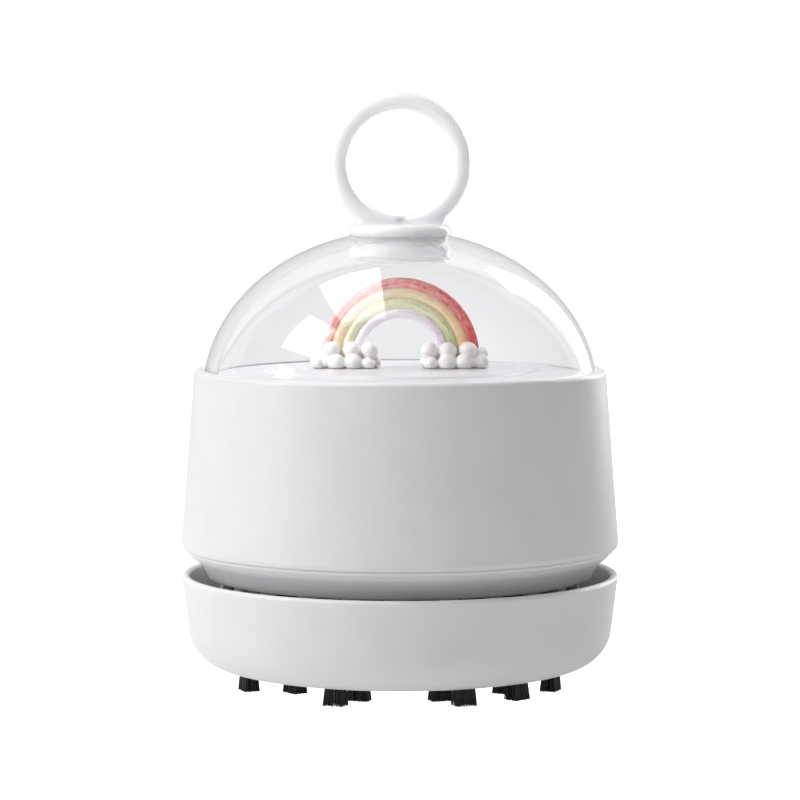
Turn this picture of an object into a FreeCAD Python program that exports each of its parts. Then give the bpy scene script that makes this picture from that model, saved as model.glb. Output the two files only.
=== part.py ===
"""Desktop mini vacuum cleaner: an assembly of separate pieces, in millimetres.

+Z is up and the origin is on the table under the middle of the cleaner, at the tips of its brushes.
The front faces -Y. Heights are stacked from the table upward, radii from the axis outward.
"""
import FreeCAD, Part
import math
import os

# ---- used all over ---------------------------------------------------------------------------
OVERCUT = 1.0                # how far a cutting form runs past the faces that it cuts
SINK = 0.2                   # how far joined forms run into each other
NEAR = 0.01                  # tolerance when an edge is picked by its place
EDGE_BREAK = 0.3             # rounding of thin moulded edges
EDGE_ROUND = 0.5             # rounding of thicker ones

# ---- brushes and dust tray -------------------------------------------------------------------
BRISTLE_REACH = 3.6          # free length of the bristles under the tray
TUFT_WIDTH = 3.7             # tuft section where it leaves the plate
TUFT_DEPTH = 2.7
TUFT_SPREAD = 0.4            # how far each side fans out at the tip
TUFT_ROOT = 1.0              # length held in the plate
OUTER_TUFT_R = 31.7
OUTER_TUFT_COUNT = 8
OUTER_TUFT_TURN = 22.5       # degrees from the front to the first tuft
EXTRA_TUFT_ANGLES = (45.0, 225.0)
INNER_TUFT_R = 25.0
INNER_TUFT_COUNT = 10
INNER_TUFT_TURN = 18.0
BRUSH_PLATE_T = 1.3
BRUSH_PLATE_EDGE = 1.0       # plate beyond the tufts, at both edges
PLATE_GAP = 0.15             # play of the brush plate in its recess

TRAY_RIM_R = 43.0
TRAY_WAIST_R = 41.75         # where the rounded corner meets the side
TRAY_CORNER_R = 8.0
TRAY_HEIGHT = 18.15
TRAY_WALL = 1.5
TRAY_FLOOR_T = 2.6
TRAY_RIM_ROUND = 0.7
THROAT_R = 9.5               # bore of the suction mouth
THROAT_WALL = 1.5
THROAT_HEIGHT = 3.4          # above the floor
THROAT_ROUND = 0.7
THROAT_GAP = 0.05            # round the mouth in the tray's floor
MOUTH_FLANGE = 1.2
MOUTH_FLANGE_T = 0.8
CUP_WALL = 1.4
KEY_COUNT = 3
KEY_WIDTH = 3.0
KEY_DEPTH = 0.9

# ---- filter holder and its bayonet -----------------------------------------------------------
DUST_GAP = 1.8               # from the throat up to the filter holder
HOLDER_T = 1.2
HOLDER_WALL = 1.3
HOLDER_LEDGE = 2.0           # ring that carries the filter's edge
SPOKE_COUNT = 6
SPOKE_WIDTH = 1.4
HUB_R = 3.2
SCREEN_T = 0.5
FOAM_T = 1.2
SCREEN_GAP = 0.5             # play of the filter discs in the collar
FILTER_HEADROOM = 1.3
SEAL_T = 1.2
SEAL_DEPTH = 0.7             # depth of its groove
SEAL_GAP = 0.05              # between seal and cup wall
CUP_GAP = 0.25               # between holder and cup wall
COLLAR_R = 28.6              # bayonet collar under the fan housing
COLLAR_WALL = 1.4
COLLAR_GAP = 0.3             # between collar and holder, all round and below
TOP_GAP = 0.4                # holder and cup wall below the fan housing
LUG_COUNT = 3
LUG_ARC = 10.0               # degrees
LUG_T = 1.0
LUG_GAP = 0.15
LUG_LIFT = 1.0               # rim of the collar below the slots
LUG_SLACK = 1.0              # degrees of play at both ends of a slot
TWIST = 30.0                 # degrees from locked to free

# ---- fan -------------------------------------------------------------------------------------
EYE_R = 10.5                 # inlet of the fan housing
INLET_T = 1.3
INLET_LIP = 0.9              # rounded lip round the eye
FAN_GAP = 0.6                # impeller to housing, below and above
FAN_R = 26.0
BLADE_COUNT = 9
BLADE_T = 0.9
BLADE_HEIGHT = 4.0
BLADE_INLET_R = 11.5
BLADE_INLET_ANGLE = 25.0     # degrees from the tangent
BLADE_OUTLET_ANGLE = 40.0
SHROUD_T = 0.7
BACK_T = 0.9
FAN_HUB_R = 4.2
FAN_HUB_ROUND = 1.2
FAN_HUB_NOSE = 1.0           # hub below the end of the shaft
VENT_WALL = 1.4
VENT_COUNT = 24
VENT_POST = 3.0              # width of a post between two windows
VENT_SILL = 0.9              # wall left below and above the windows
VENT_ROUND = 0.8
PLATE_T = 1.5                # motor plate
PLATE_RIB_COUNT = 9
PLATE_RIB_HEIGHT = 1.0
PLATE_RIB_T = 1.2
PLATE_RIB_GAP = 0.4

# ---- motor -----------------------------------------------------------------------------------
MOTOR_R = 12.0
MOTOR_LENGTH = 17.0
MOTOR_WALL = 0.9
MOTOR_ROUND = 1.2
ENDCAP_T = 1.6
ENDCAP_COLLAR = 1.2          # wall round the upper bushing
ENDCAP_COLLAR_DROP = 0.6
ENDCAP_COLLAR_RISE = 0.9
PILOT_R = 3.4                # boss of the can in the motor plate
PILOT_HEIGHT = 1.2
PILOT_GAP = 0.15
SHAFT_R = 1.0
SHAFT_GAP = 0.04             # running clearance in the bushings
BUSHING_R = 2.5
BUSHING_LENGTH = 2.6
BUSHING_RISE = 0.6           # upper bushing above the can
ARMATURE_R = 8.6
ARMATURE_LENGTH = 9.0
ARMATURE_GAP = 0.5           # to the magnets
ARMATURE_LIFT = 1.6          # above the lower bushing
ARMATURE_YOKE = 1.2          # iron between commutator and coils
POLE_COUNT = 3
SLOT_WIDTH = 1.8
COIL_R = 1.9
COMMUTATOR_R = 2.3
COMMUTATOR_LENGTH = 2.2
MAGNET_ARC = 130.0
MAGNET_OVERHANG = 0.5        # beyond the armature, at both ends
TERMINAL_WIDTH = 2.0
TERMINAL_T = 0.4
TERMINAL_HEIGHT = 1.8
TERMINAL_TAIL = 0.8          # below the end cap
TERMINAL_ROOM = 2.3          # space above the motor
TERMINAL_R = 5.5
TERMINAL_CLEAR = 2.0         # round the terminals in the cradle
MOTOR_SCREW_COUNT = 2
MOTOR_SCREW_R = 1.0
MOTOR_SCREW_CIRCLE = 8.0
MOUNT_WALL = 1.6
MOUNT_GAP = 0.15
MOUNT_FLANGE_R = 18.6
MOUNT_FLANGE_T = 1.5
MOUNT_FOOT_ROUND = 0.2
MOUNT_RIB_COUNT = 6
MOUNT_RIB_INSET = 0.6        # from the flange's edge
MOUNT_RIB_TOP = 0.8          # reach of a rib at its upper end
MOUNT_RIB_DROP = 2.0         # upper end of a rib below the cradle
MOUNT_SCREW_COUNT = 3
MOUNT_SCREW_TURN = 30.0
MOUNT_SCREW_CIRCLE = 16.0
BLIND_FLOOR = 0.2            # plate left under the blind screw holes
SCREW_HEAD_R = 1.9
SCREW_HEAD_T = 1.1
SCREW_GAP = 0.1
SCREW_PROUD = 0.3            # tip of a motor screw inside the can
BORE_SPARE = 0.5             # depth of a screw bore beyond the screw

# ---- battery and electronics -----------------------------------------------------------------
BATTERY_R = 7.0
BATTERY_LENGTH = 48.0
BATTERY_NIPPLE_R = 2.8
BATTERY_NIPPLE_LENGTH = 1.0
BATTERY_HEADROOM = 0.3
CRIMP_PLACE = 2.4            # groove near the nipple's end
CRIMP_WIDTH = 1.2
CRIMP_DEPTH = 0.4
CRADLE_T = 1.2
CRADLE_WALL = 1.3
CRADLE_HEIGHT = 7.0
CRADLE_GAP = 0.15
SADDLE_T = 1.6
SADDLE_GAP = 0.02
CONTACT_T = 0.3
BOARD_T = 1.6
BOARD_WIDTH = 26.0
BOARD_HEIGHT = 26.0
BOARD_LIFT = 5.5             # above the motor plate
RAIL_GRIP = 1.2
RAIL_GAP = 0.15
RAIL_WALL = 1.4
RAIL_DROP = 1.0              # rail ends below the board's upper edge
RIB_CLEAR = 0.3              # ribs and rails above the skirt's spigot
USB_WIDTH = 8.94
USB_HEIGHT = 3.26
USB_WALL = 0.3
USB_DEPTH = 6.5
USB_TONGUE_WIDTH = 6.7
USB_TONGUE_T = 0.7
USB_TONGUE_INSET = 1.0
USB_RECESS = 0.7             # behind the housing's surface
USB_LIFT = 4.7               # its centre above the board's lower edge
USB_GAP = 0.25
LAMP_R = 1.1
LAMP_LIFT = 9.2
LAMP_PROUD = 0.1
LAMP_GAP = 0.1
CHIP_SIZE = 5.0
CHIP_T = 1.2

# ---- power switch ----------------------------------------------------------------------------
SWITCH_TRAVEL = 4.0
SWITCH_LIFT = 15.3           # knob's lower position above the board's lower edge
SWITCH_WIDTH = 8.0
SWITCH_HEIGHT = 12.0
SWITCH_T = 3.6
SWITCH_PLAY = 1.3            # between the switch and the knob's flange
STEM_SIZE = 1.6
STEM_BITE = 1.3              # stem inside the knob
NECK_WIDTH = 3.2
NECK_HEIGHT = 4.0
FLANGE_T = 1.0
FLANGE_MARGIN = 0.9
KNOB_SIZE = 6.4
KNOB_T = 1.5
KNOB_ROUND = 1.2
KNOB_RIBS = 3
KNOB_RIB_SIZE = 0.5
KNOB_RIB_HEIGHT = 0.3
KNOB_RIB_PITCH = 1.5
KNOB_GAP = 0.25
POCKET_MARGIN = 0.9
POCKET_DEPTH = 0.95          # at the middle of the pocket
POCKET_ROUND = 1.6

# ---- skirt, housing and deck -----------------------------------------------------------------
SEAM_LIFT = 1.9              # housing's lower edge above the motor plate
SKIRT_DROP = 5.5             # skirt's lower edge below the seam
SKIRT_R = 37.4               # at the lower edge
SKIRT_LIP_R = 41.8
SKIRT_LIP_DROP = 0.3
SKIRT_CHEEK = 2.1            # height of the lip's rounded part
SKIRT_CHEEK_IN = 1.1
SKIRT_CHEEK_ROUND = 2.5
SKIRT_LIP_ROUND = 0.6
SKIRT_WALL = 1.2
SKIRT_BORE_GAP = 0.2
SKIRT_FLANGE_T = 1.2
SPIGOT_HEIGHT = 2.8
SPIGOT_WALL = 1.6
SPIGOT_GAP = 0.15
SHELL_SEAM_R = 42.76
SHELL_WIDEST_R = 43.0
SHELL_WIDEST_LIFT = 0.9
SHELL_WIDEST_ROUND = 1.0
SHELL_TOP_R = 40.5
SHELL_WALL = 2.2
SHELL_RIM_ROUND = 2.0
SHELL_RIM_PROUD = 0.4        # above the deck
BOSS_CIRCLE = 32.0
BOSS_R = 2.9                 # pillars of the fan housing
SHELL_BOSS_R = 2.4
BOSS_HEIGHT = 14.0
BOSS_RIB_DROP = 1.0
BOSS_COUNT = 3
BOSS_TURN = 30.0
BOSS_RIB_T = 1.6
SCREW_R = 1.1
SCREW_BITE = 8.0
DECK_T = 1.5
DECK_FOOT_T = 1.5
DECK_FOOT_DROP = 2.4         # the dome's seat below the deck
DECK_GAP = 0.3
PODIUM_R = 26.0
PODIUM_HEIGHT = 0.6
PODIUM_SLOPE = 1.0
PODIUM_ROUND = 0.8
LEDGE_T = 1.2
LEDGE_WIDTH = 3.0

# ---- dome and ring handle --------------------------------------------------------------------
DOME_R = 38.25               # at the housing's rim
DOME_BULGE_R = 38.72         # half width of the dome's ellipse
DOME_HALF_HEIGHT = 32.1
DOME_SINK = 5.0              # ellipse centre below the rim
DOME_WALL = 2.2
DOME_GAP = 0.2
COLLAR_TOP_R = 9.9
COLLAR_RISE = 1.2            # collar's top above the dome's crown
COLLAR_EDGE = 1.7
COLLAR_DEPTH = 3.0
PLUG_R = 6.8
PLUG_GAP = 0.1
RING_R = 12.1                # middle of the ring's tube
RING_TUBE_R = 1.68
RING_LIFT = 13.2             # ring's centre above the dome's crown
RING_FLARE = 1.2
RETAINER_R = 9.9
RETAINER_T = 3.0
RETAINER_STEP = 0.8
HANDLE_SCREW_BITE = 5.0

# ---- rainbow and clouds ----------------------------------------------------------------------
BAND_PITCH = 2.0
BAND_R = 0.98
BAND_NAMES = ("violet", "green", "orange", "red")
BAND_INNER_R = 8.6           # middle of the innermost band
ARCH_LIFT = 2.2              # arch centre above the podium
CLOUD_LOWER_R = 1.75
CLOUD_UPPER_R = 1.65
CLOUD_LOWER_PITCH = 3.3
CLOUD_UPPER_PITCH = 3.75
CLOUD_LOWER_COUNT = 4
CLOUD_UPPER_COUNT = 3
CLOUD_MIDDLE = 10.9          # cloud's middle from the axis
CLOUD_RISE = 2.5             # upper balls above the lower ones
CLOUD_FRONT_Y = -1.2         # middle of the front balls
CLOUD_BACK_Y = 1.3
CLOUD_BACK_COUNT = 3
CLOUD_BACK_R = 1.9
CLOUD_PLAY = 0.1             # room round the bands' feet in a cloud's pocket

# ---- heights, from the table upward ----------------------------------------------------------
TRAY_Z = BRISTLE_REACH
FLOOR_Z = TRAY_Z + TRAY_FLOOR_T
THROAT_Z = FLOOR_Z + THROAT_HEIGHT
HOLDER_Z = THROAT_Z + DUST_GAP
SCREEN_Z = HOLDER_Z + HOLDER_T
FOAM_Z = SCREEN_Z + SCREEN_T
INLET_Z = FOAM_Z + FOAM_T + FILTER_HEADROOM
VOLUTE_Z = INLET_Z + INLET_T
SHROUD_Z = VOLUTE_Z + FAN_GAP
BLADE_Z = SHROUD_Z + SHROUD_T
BACK_Z = BLADE_Z + BLADE_HEIGHT
PLATE_Z = BACK_Z + BACK_T + FAN_GAP
MOTOR_Z = PLATE_Z + PLATE_T
MOTOR_TOP = MOTOR_Z + MOTOR_LENGTH
CRADLE_Z = MOTOR_TOP + TERMINAL_ROOM
BATTERY_Z = CRADLE_Z + CRADLE_T + BATTERY_R
DECK_UNDER = BATTERY_Z + BATTERY_R + BATTERY_HEADROOM
DECK_Z = DECK_UNDER + DECK_T
RIM_Z = DECK_Z + SHELL_RIM_PROUD
SEAM_Z = MOTOR_Z + SEAM_LIFT
SKIRT_Z = SEAM_Z - SKIRT_DROP
DOME_CENTRE_Z = RIM_Z - DOME_SINK
CROWN_Z = DOME_CENTRE_Z + DOME_HALF_HEIGHT
BOARD_Z = MOTOR_Z + BOARD_LIFT
PODIUM_Z = DECK_Z + PODIUM_HEIGHT

# ---- radii that follow from the ones above ---------------------------------------------------
SLEEVE_R = COLLAR_R + COLLAR_GAP
HOLDER_R = SLEEVE_R + HOLDER_WALL
CUP_R = HOLDER_R + CUP_GAP
HOUSING_R = SKIRT_R - SKIRT_WALL - SKIRT_BORE_GAP
SCREEN_R = COLLAR_R - COLLAR_WALL - SCREEN_GAP

V = FreeCAD.Vector
AXIS = V(0, 0, 1)
ORIGIN = V(0, 0, 0)


# ---- drawing helpers -------------------------------------------------------------------------
def rounded_wire(corners, place):
    """Closed wire through (a, b, radius) corners, each rounded by a tangent arc; place maps (a, b) to 3-D."""
    count = len(corners)
    stretches = []
    for index, (a, b, radius) in enumerate(corners):
        back_a = corners[index - 1][0] - a
        back_b = corners[index - 1][1] - b
        next_a = corners[(index + 1) % count][0] - a
        next_b = corners[(index + 1) % count][1] - b
        back = math.hypot(back_a, back_b)
        ahead = math.hypot(next_a, next_b)
        back_a, back_b, next_a, next_b = back_a / back, back_b / back, next_a / ahead, next_b / ahead
        half = math.acos(max(-1.0, min(1.0, back_a * next_a + back_b * next_b))) / 2
        if radius <= 0 or abs(half - math.pi / 2) < 1e-6:
            stretches.append(((a, b), None, (a, b)))
            continue
        cut = min(radius / math.tan(half), 0.48 * back, 0.48 * ahead)
        reach = cut / math.cos(half)
        inside = reach - cut * math.tan(half)
        mid_a, mid_b = back_a + next_a, back_b + next_b
        size = math.hypot(mid_a, mid_b)
        middle = (a + mid_a / size * inside, b + mid_b / size * inside)
        start = (a + back_a * cut, b + back_b * cut)
        stretches.append((start, middle, (a + next_a * cut, b + next_b * cut)))
    edges = []
    for index, (start, middle, end) in enumerate(stretches):
        if middle:
            edges.append(Part.Arc(place(*start), place(*middle), place(*end)).toShape())
        following = stretches[(index + 1) % count][0]
        if math.dist(end, following) > 1e-6:
            edges.append(Part.LineSegment(place(*end), place(*following)).toShape())
    return Part.Wire(edges)


def spun(wire):
    """Solid made by turning a closed wire of the XZ plane about Z."""
    solid = Part.Face(wire).revolve(ORIGIN, AXIS, 360)
    return solid.reversed() if solid.Volume < 0 else solid


def turned(*corners):
    """Solid of revolution about Z from (r, z) or (r, z, rounding) corners."""
    full = [corner if len(corner) == 3 else (*corner, 0.0) for corner in corners]
    return spun(rounded_wire(full, lambda r, z: V(r, 0, z)))


def prism(corners, z, height):
    """Upright prism on a plan of (x, y) or (x, y, rounding) corners."""
    full = [corner if len(corner) == 3 else (*corner, 0.0) for corner in corners]
    return Part.Face(rounded_wire(full, lambda x, y: V(x, y, z))).extrude(V(0, 0, height))


def disc(radius, z, height, x=0.0, y=0.0):
    """Upright cylinder."""
    return Part.makeCylinder(radius, height, V(x, y, z), AXIS)


def tube(outer, inner, z, height):
    """Upright tube about the axis."""
    return disc(outer, z, height).cut(disc(inner, z, height))


def block(x0, x1, y0, y1, z0, z1):
    """Box between two corners."""
    return Part.makeBox(x1 - x0, y1 - y0, z1 - z0, V(x0, y0, z0))


def sector(outer, inner, z, height, start, arc):
    """Piece of a tube, from the angle start over arc degrees."""
    wedge = Part.makeCylinder(outer, height, V(0, 0, z), AXIS, arc)
    wedge.rotate(ORIGIN, AXIS, start)
    return wedge.cut(disc(inner, z, height))


def turn(shape, angle):
    """Copy of a shape turned about the axis by degrees."""
    copy = shape.copy()
    copy.rotate(ORIGIN, AXIS, angle)
    return copy


def ring_of(shape, count, first=0.0):
    """Copies of a shape spaced evenly round the axis."""
    return [turn(shape, first + index * 360.0 / count) for index in range(count)]


def fused(shapes):
    """One solid from shapes that overlap or touch."""
    whole = shapes[0]
    for shape in shapes[1:]:
        whole = whole.fuse(shape)
    return whole.removeSplitter()


def stadium(width, height, z_middle, y, depth):
    """Bar with round ends that lies along Y: width in X, height in Z."""
    half, radius = width / 2, height / 2
    low, high = z_middle - radius, z_middle + radius
    corners = [(-half, low), (half, low), (half, high), (-half, high)]
    wire = rounded_wire([(x, z, radius * 0.98) for x, z in corners], lambda x, z: V(x, y, z))
    return Part.Face(wire).extrude(V(0, depth, 0))


def screw(x, y, z, length, radius, head_down=False):
    """Pan-head screw: shank from z upward for its length, head at the top or at the bottom."""
    shank = disc(radius, z, length, x, y)
    head_z = z - SCREW_HEAD_T if head_down else z + length
    head = disc(SCREW_HEAD_R, head_z, SCREW_HEAD_T, x, y)
    recess_z = head_z - OVERCUT if head_down else head_z + SCREW_HEAD_T / 2
    recess = disc(SCREW_HEAD_R / 2, recess_z, OVERCUT + SCREW_HEAD_T / 2, x, y)
    return fused([shank, head]).cut(recess)


def on_circle(radius, angle):
    """Point (x, y) at an angle counted from +X."""
    return radius * math.cos(math.radians(angle)), radius * math.sin(math.radians(angle))


# ---- brushes ---------------------------------------------------------------------------------
def tuft_angles(count, first):
    """Angles of evenly spaced tufts, counted from the front."""
    return [first + index * 360.0 / count for index in range(count)]


def tuft(radius, angle):
    """One bristle tuft: a straight root in the plate and a bundle that fans out to the tip."""
    def section(spread, z):
        half_w, half_d = TUFT_WIDTH / 2 + spread, TUFT_DEPTH / 2 + spread
        points = [V(-half_w, -radius - half_d, z), V(half_w, -radius - half_d, z),
                  V(half_w, -radius + half_d, z), V(-half_w, -radius + half_d, z)]
        return Part.makePolygon(points + points[:1])

    bundle = Part.makeLoft([section(TUFT_SPREAD, 0.0), section(0.0, BRISTLE_REACH)], True, True)
    root = Part.Face(section(0.0, BRISTLE_REACH)).extrude(V(0, 0, TUFT_ROOT))
    return turn(fused([bundle, root]), angle)


def tuft_rows():
    """Tufts of the outer row and of the inner row."""
    outer_angles = tuft_angles(OUTER_TUFT_COUNT, OUTER_TUFT_TURN) + list(EXTRA_TUFT_ANGLES)
    inner_angles = tuft_angles(INNER_TUFT_COUNT, INNER_TUFT_TURN)
    outer = [tuft(OUTER_TUFT_R, angle) for angle in outer_angles]
    inner = [tuft(INNER_TUFT_R, angle) for angle in inner_angles]
    return outer, inner


def plate_edges():
    """Inner and outer radius of the brush plate."""
    reach = TUFT_DEPTH / 2 + BRUSH_PLATE_EDGE
    return INNER_TUFT_R - reach, math.hypot(OUTER_TUFT_R + TUFT_DEPTH / 2, TUFT_WIDTH / 2) + BRUSH_PLATE_EDGE


def brush_plate(tufts):
    """Flat ring under the tray, with a socket for each tuft."""
    inner, outer = plate_edges()
    return tube(outer, inner, TRAY_Z, BRUSH_PLATE_T).cut(tufts)


# ---- dust tray -------------------------------------------------------------------------------
def dust_tray():
    """Bowl with a flat floor, a rounded corner and a side that leans out to a thin round rim."""
    rim_z = TRAY_Z + TRAY_HEIGHT
    waist_z = TRAY_Z + TRAY_CORNER_R
    lean = (TRAY_RIM_R - TRAY_WAIST_R) / (rim_z - waist_z)
    foot_r = TRAY_WAIST_R - lean * TRAY_CORNER_R
    foot_in = foot_r + lean * TRAY_FLOOR_T - TRAY_WALL
    hole = THROAT_R + THROAT_WALL + THROAT_GAP
    bowl = turned((hole, TRAY_Z), (foot_r, TRAY_Z, TRAY_CORNER_R), (TRAY_RIM_R, rim_z, TRAY_RIM_ROUND),
                  (TRAY_RIM_R - TRAY_WALL, rim_z, TRAY_RIM_ROUND),
                  (foot_in, FLOOR_Z, TRAY_CORNER_R - TRAY_WALL), (hole, FLOOR_Z))
    inner, outer = plate_edges()
    return bowl.cut(tube(outer + PLATE_GAP, inner - PLATE_GAP, TRAY_Z - OVERCUT, BRUSH_PLATE_T + OVERCUT))


def suction_mouth():
    """Rounded tube through the middle of the tray's floor, on which its flange rests."""
    outer = THROAT_R + THROAT_WALL
    flange_z = FLOOR_Z + MOUTH_FLANGE_T
    return turned((THROAT_R, TRAY_Z, THROAT_ROUND), (outer, TRAY_Z, EDGE_BREAK), (outer, FLOOR_Z),
                  (outer + MOUTH_FLANGE, FLOOR_Z), (outer + MOUTH_FLANGE, flange_z, EDGE_BREAK),
                  (outer, flange_z, EDGE_BREAK), (outer, THROAT_Z, THROAT_ROUND),
                  (THROAT_R, THROAT_Z, THROAT_ROUND))


def dust_cup():
    """Wall round the dust chamber that slips over the filter holder, with keys that turn the holder."""
    top = INLET_Z - TOP_GAP
    wall = turned((CUP_R, FLOOR_Z), (CUP_R + CUP_WALL, FLOOR_Z), (CUP_R + CUP_WALL, top, EDGE_ROUND),
                  (CUP_R, top, EDGE_BREAK))
    key = block(CUP_R - KEY_DEPTH, CUP_R + CUP_WALL / 2, -KEY_WIDTH / 2, KEY_WIDTH / 2, FLOOR_Z, SCREEN_Z)
    return fused([wall] + ring_of(key, KEY_COUNT, 90.0))


# ---- filter ----------------------------------------------------------------------------------
def seal_groove():
    """Lower edge of the seal's groove on the holder's sleeve."""
    return (SCREEN_Z + INLET_Z - TOP_GAP) / 2 - SEAL_T / 2


def lug_z():
    """Lower face of the bayonet's lugs."""
    return SCREEN_Z + COLLAR_GAP + LUG_LIFT


def filter_holder():
    """Spoked plate with a sleeve that slips over the bayonet collar, lugs inside and a seal groove outside."""
    top = INLET_Z - TOP_GAP
    sleeve = turned((SLEEVE_R, HOLDER_Z), (HOLDER_R, HOLDER_Z, EDGE_BREAK), (HOLDER_R, top, EDGE_BREAK),
                    (SLEEVE_R, top, EDGE_BREAK))
    plate = tube(SLEEVE_R + SINK, SCREEN_R - HOLDER_LEDGE, HOLDER_Z, HOLDER_T)
    hub = disc(HUB_R, HOLDER_Z, HOLDER_T)
    spoke = block(HUB_R / 2, SCREEN_R - HOLDER_LEDGE / 2, -SPOKE_WIDTH / 2, SPOKE_WIDTH / 2, HOLDER_Z, SCREEN_Z)
    lug = sector(SLEEVE_R + SINK, COLLAR_R - COLLAR_WALL + SINK, lug_z(), LUG_T, -LUG_ARC / 2, LUG_ARC)
    solid = fused([sleeve, plate, hub] + ring_of(spoke, SPOKE_COUNT) + ring_of(lug, LUG_COUNT))
    solid = solid.cut(tube(HOLDER_R + OVERCUT, HOLDER_R - SEAL_DEPTH, seal_groove(), SEAL_T))
    half, notch_in = KEY_WIDTH / 2 + CUP_GAP, CUP_R - KEY_DEPTH - CUP_GAP
    notch = block(notch_in, HOLDER_R + OVERCUT, -half, half, HOLDER_Z - OVERCUT, SCREEN_Z + CUP_GAP)
    return solid.cut(ring_of(notch, KEY_COUNT, 90.0))


def tray_seal():
    """Rubber ring between the filter holder and the tray's cup wall: it seals and grips."""
    z = seal_groove()
    outer = CUP_R - SEAL_GAP
    inner = HOLDER_R - SEAL_DEPTH
    return turned((inner, z), (outer, z, EDGE_BREAK), (outer, z + SEAL_T, EDGE_BREAK), (inner, z + SEAL_T))


# ---- fan housing -----------------------------------------------------------------------------
def bayonet_collar():
    """Collar with L-shaped slots: a lug enters from below and turns into its seat."""
    collar_z = SCREEN_Z + COLLAR_GAP
    inner = COLLAR_R - COLLAR_WALL
    collar = turned((inner, collar_z, EDGE_BREAK), (COLLAR_R, collar_z, EDGE_BREAK),
                    (COLLAR_R, INLET_Z + SINK), (inner, INLET_Z + SINK))
    far, near = COLLAR_R + OVERCUT, inner - OVERCUT
    run_arc = LUG_ARC + TWIST + 2 * LUG_SLACK
    run = sector(far, near, lug_z() - LUG_GAP, LUG_T + 2 * LUG_GAP, -LUG_ARC / 2 - LUG_SLACK, run_arc)
    entry_arc = LUG_ARC + 2 * LUG_SLACK
    entry = sector(far, near, collar_z - OVERCUT, OVERCUT + LUG_LIFT + LUG_T, TWIST - entry_arc / 2, entry_arc)
    return collar.cut(ring_of(run, LUG_COUNT) + ring_of(entry, LUG_COUNT))


def boss_points():
    """Places of the long housing screws."""
    return [on_circle(BOSS_CIRCLE, BOSS_TURN + index * 360.0 / BOSS_COUNT) for index in range(BOSS_COUNT)]


def fan_housing():
    """Inlet plate with a rounded eye, a wall of exhaust windows, screw pillars and the bayonet collar."""
    inner = HOUSING_R - VENT_WALL
    body = turned((EYE_R, INLET_Z, EDGE_BREAK), (HOUSING_R, INLET_Z, VENT_ROUND), (HOUSING_R, PLATE_Z),
                  (inner, PLATE_Z), (inner, VOLUTE_Z, VENT_ROUND), (EYE_R + INLET_LIP, VOLUTE_Z, EDGE_BREAK),
                  (EYE_R, VOLUTE_Z + INLET_LIP / 2, EDGE_BREAK))
    limit = disc(HOUSING_R - VENT_WALL / 2, INLET_Z, PLATE_Z - INLET_Z)
    foot_z = VOLUTE_Z - INLET_T / 2
    pillars = [disc(BOSS_R, foot_z, PLATE_Z - foot_z, x, y).common(limit).Solids[0] for x, y in boss_points()]
    body = fused([body] + pillars)
    arc = 360.0 / VENT_COUNT - math.degrees(VENT_POST / HOUSING_R)
    low, high = VOLUTE_Z + VENT_SILL, PLATE_Z - VENT_SILL
    window = sector(HOUSING_R + OVERCUT, inner - EDGE_ROUND, low, high - low, -arc / 2, arc)
    under, through = INLET_Z - OVERCUT, PLATE_Z - INLET_Z + 2 * OVERCUT
    bores = [disc(SCREW_R + SCREW_GAP, under, through, x, y) for x, y in boss_points()]
    sinks = [disc(SCREW_HEAD_R + SCREW_GAP, under, OVERCUT + SCREW_HEAD_T, x, y) for x, y in boss_points()]
    body = body.cut(ring_of(window, VENT_COUNT, 180.0 / VENT_COUNT) + bores + sinks)
    return fused([body, bayonet_collar()])


# ---- impeller --------------------------------------------------------------------------------
def blade():
    """Backward-curved blade: one circular arc that meets the inlet and outlet circles at the set angles."""
    cos_in = math.cos(math.radians(BLADE_INLET_ANGLE))
    cos_out = math.cos(math.radians(BLADE_OUTLET_ANGLE))
    curve_r = (FAN_R ** 2 - BLADE_INLET_R ** 2) / (2 * (FAN_R * cos_out - BLADE_INLET_R * cos_in))
    centre = math.sqrt(FAN_R ** 2 + curve_r ** 2 - 2 * FAN_R * curve_r * cos_out)

    def seen_from_centre(radius):
        cos_angle = (radius ** 2 + centre ** 2 - curve_r ** 2) / (2 * radius * centre)
        angle = math.acos(max(-1.0, min(1.0, cos_angle)))
        return math.atan2(radius * math.sin(angle), radius * math.cos(angle) - centre)

    def point(radius, angle):
        return V(centre + radius * math.cos(angle), radius * math.sin(angle), BLADE_Z - SINK)

    start, end = seen_from_centre(BLADE_INLET_R), seen_from_centre(FAN_R - BLADE_T / 2)
    middle = (start + end) / 2
    near, far = curve_r - BLADE_T / 2, curve_r + BLADE_T / 2
    edges = [Part.Arc(point(near, start), point(near, middle), point(near, end)).toShape(),
             Part.LineSegment(point(near, end), point(far, end)).toShape(),
             Part.Arc(point(far, end), point(far, middle), point(far, start)).toShape(),
             Part.LineSegment(point(far, start), point(near, start)).toShape()]
    return Part.Face(Part.Wire(edges)).extrude(V(0, 0, BLADE_HEIGHT + 2 * SINK))


def impeller():
    """Closed fan wheel: shroud with an eye below, blades, back disc above and a hub with a fairing."""
    shroud = tube(FAN_R, BLADE_INLET_R, SHROUD_Z, SHROUD_T)
    back = disc(FAN_R, BACK_Z, BACK_T)
    back_middle = BACK_Z + BACK_T / 2
    fairing = turned((0, BLADE_Z), (FAN_HUB_R * 0.6, BLADE_Z, FAN_HUB_ROUND),
                     (FAN_HUB_R, BACK_Z, FAN_HUB_ROUND), (FAN_HUB_R * 1.5, back_middle), (0, back_middle))
    wheel = fused([shroud, back, fairing] + ring_of(blade(), BLADE_COUNT))
    bore = disc(SHAFT_R, shaft_z(), PLATE_Z - shaft_z())
    return wheel.common(disc(FAN_R, SHROUD_Z, PLATE_Z - SHROUD_Z)).cut(bore)


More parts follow.
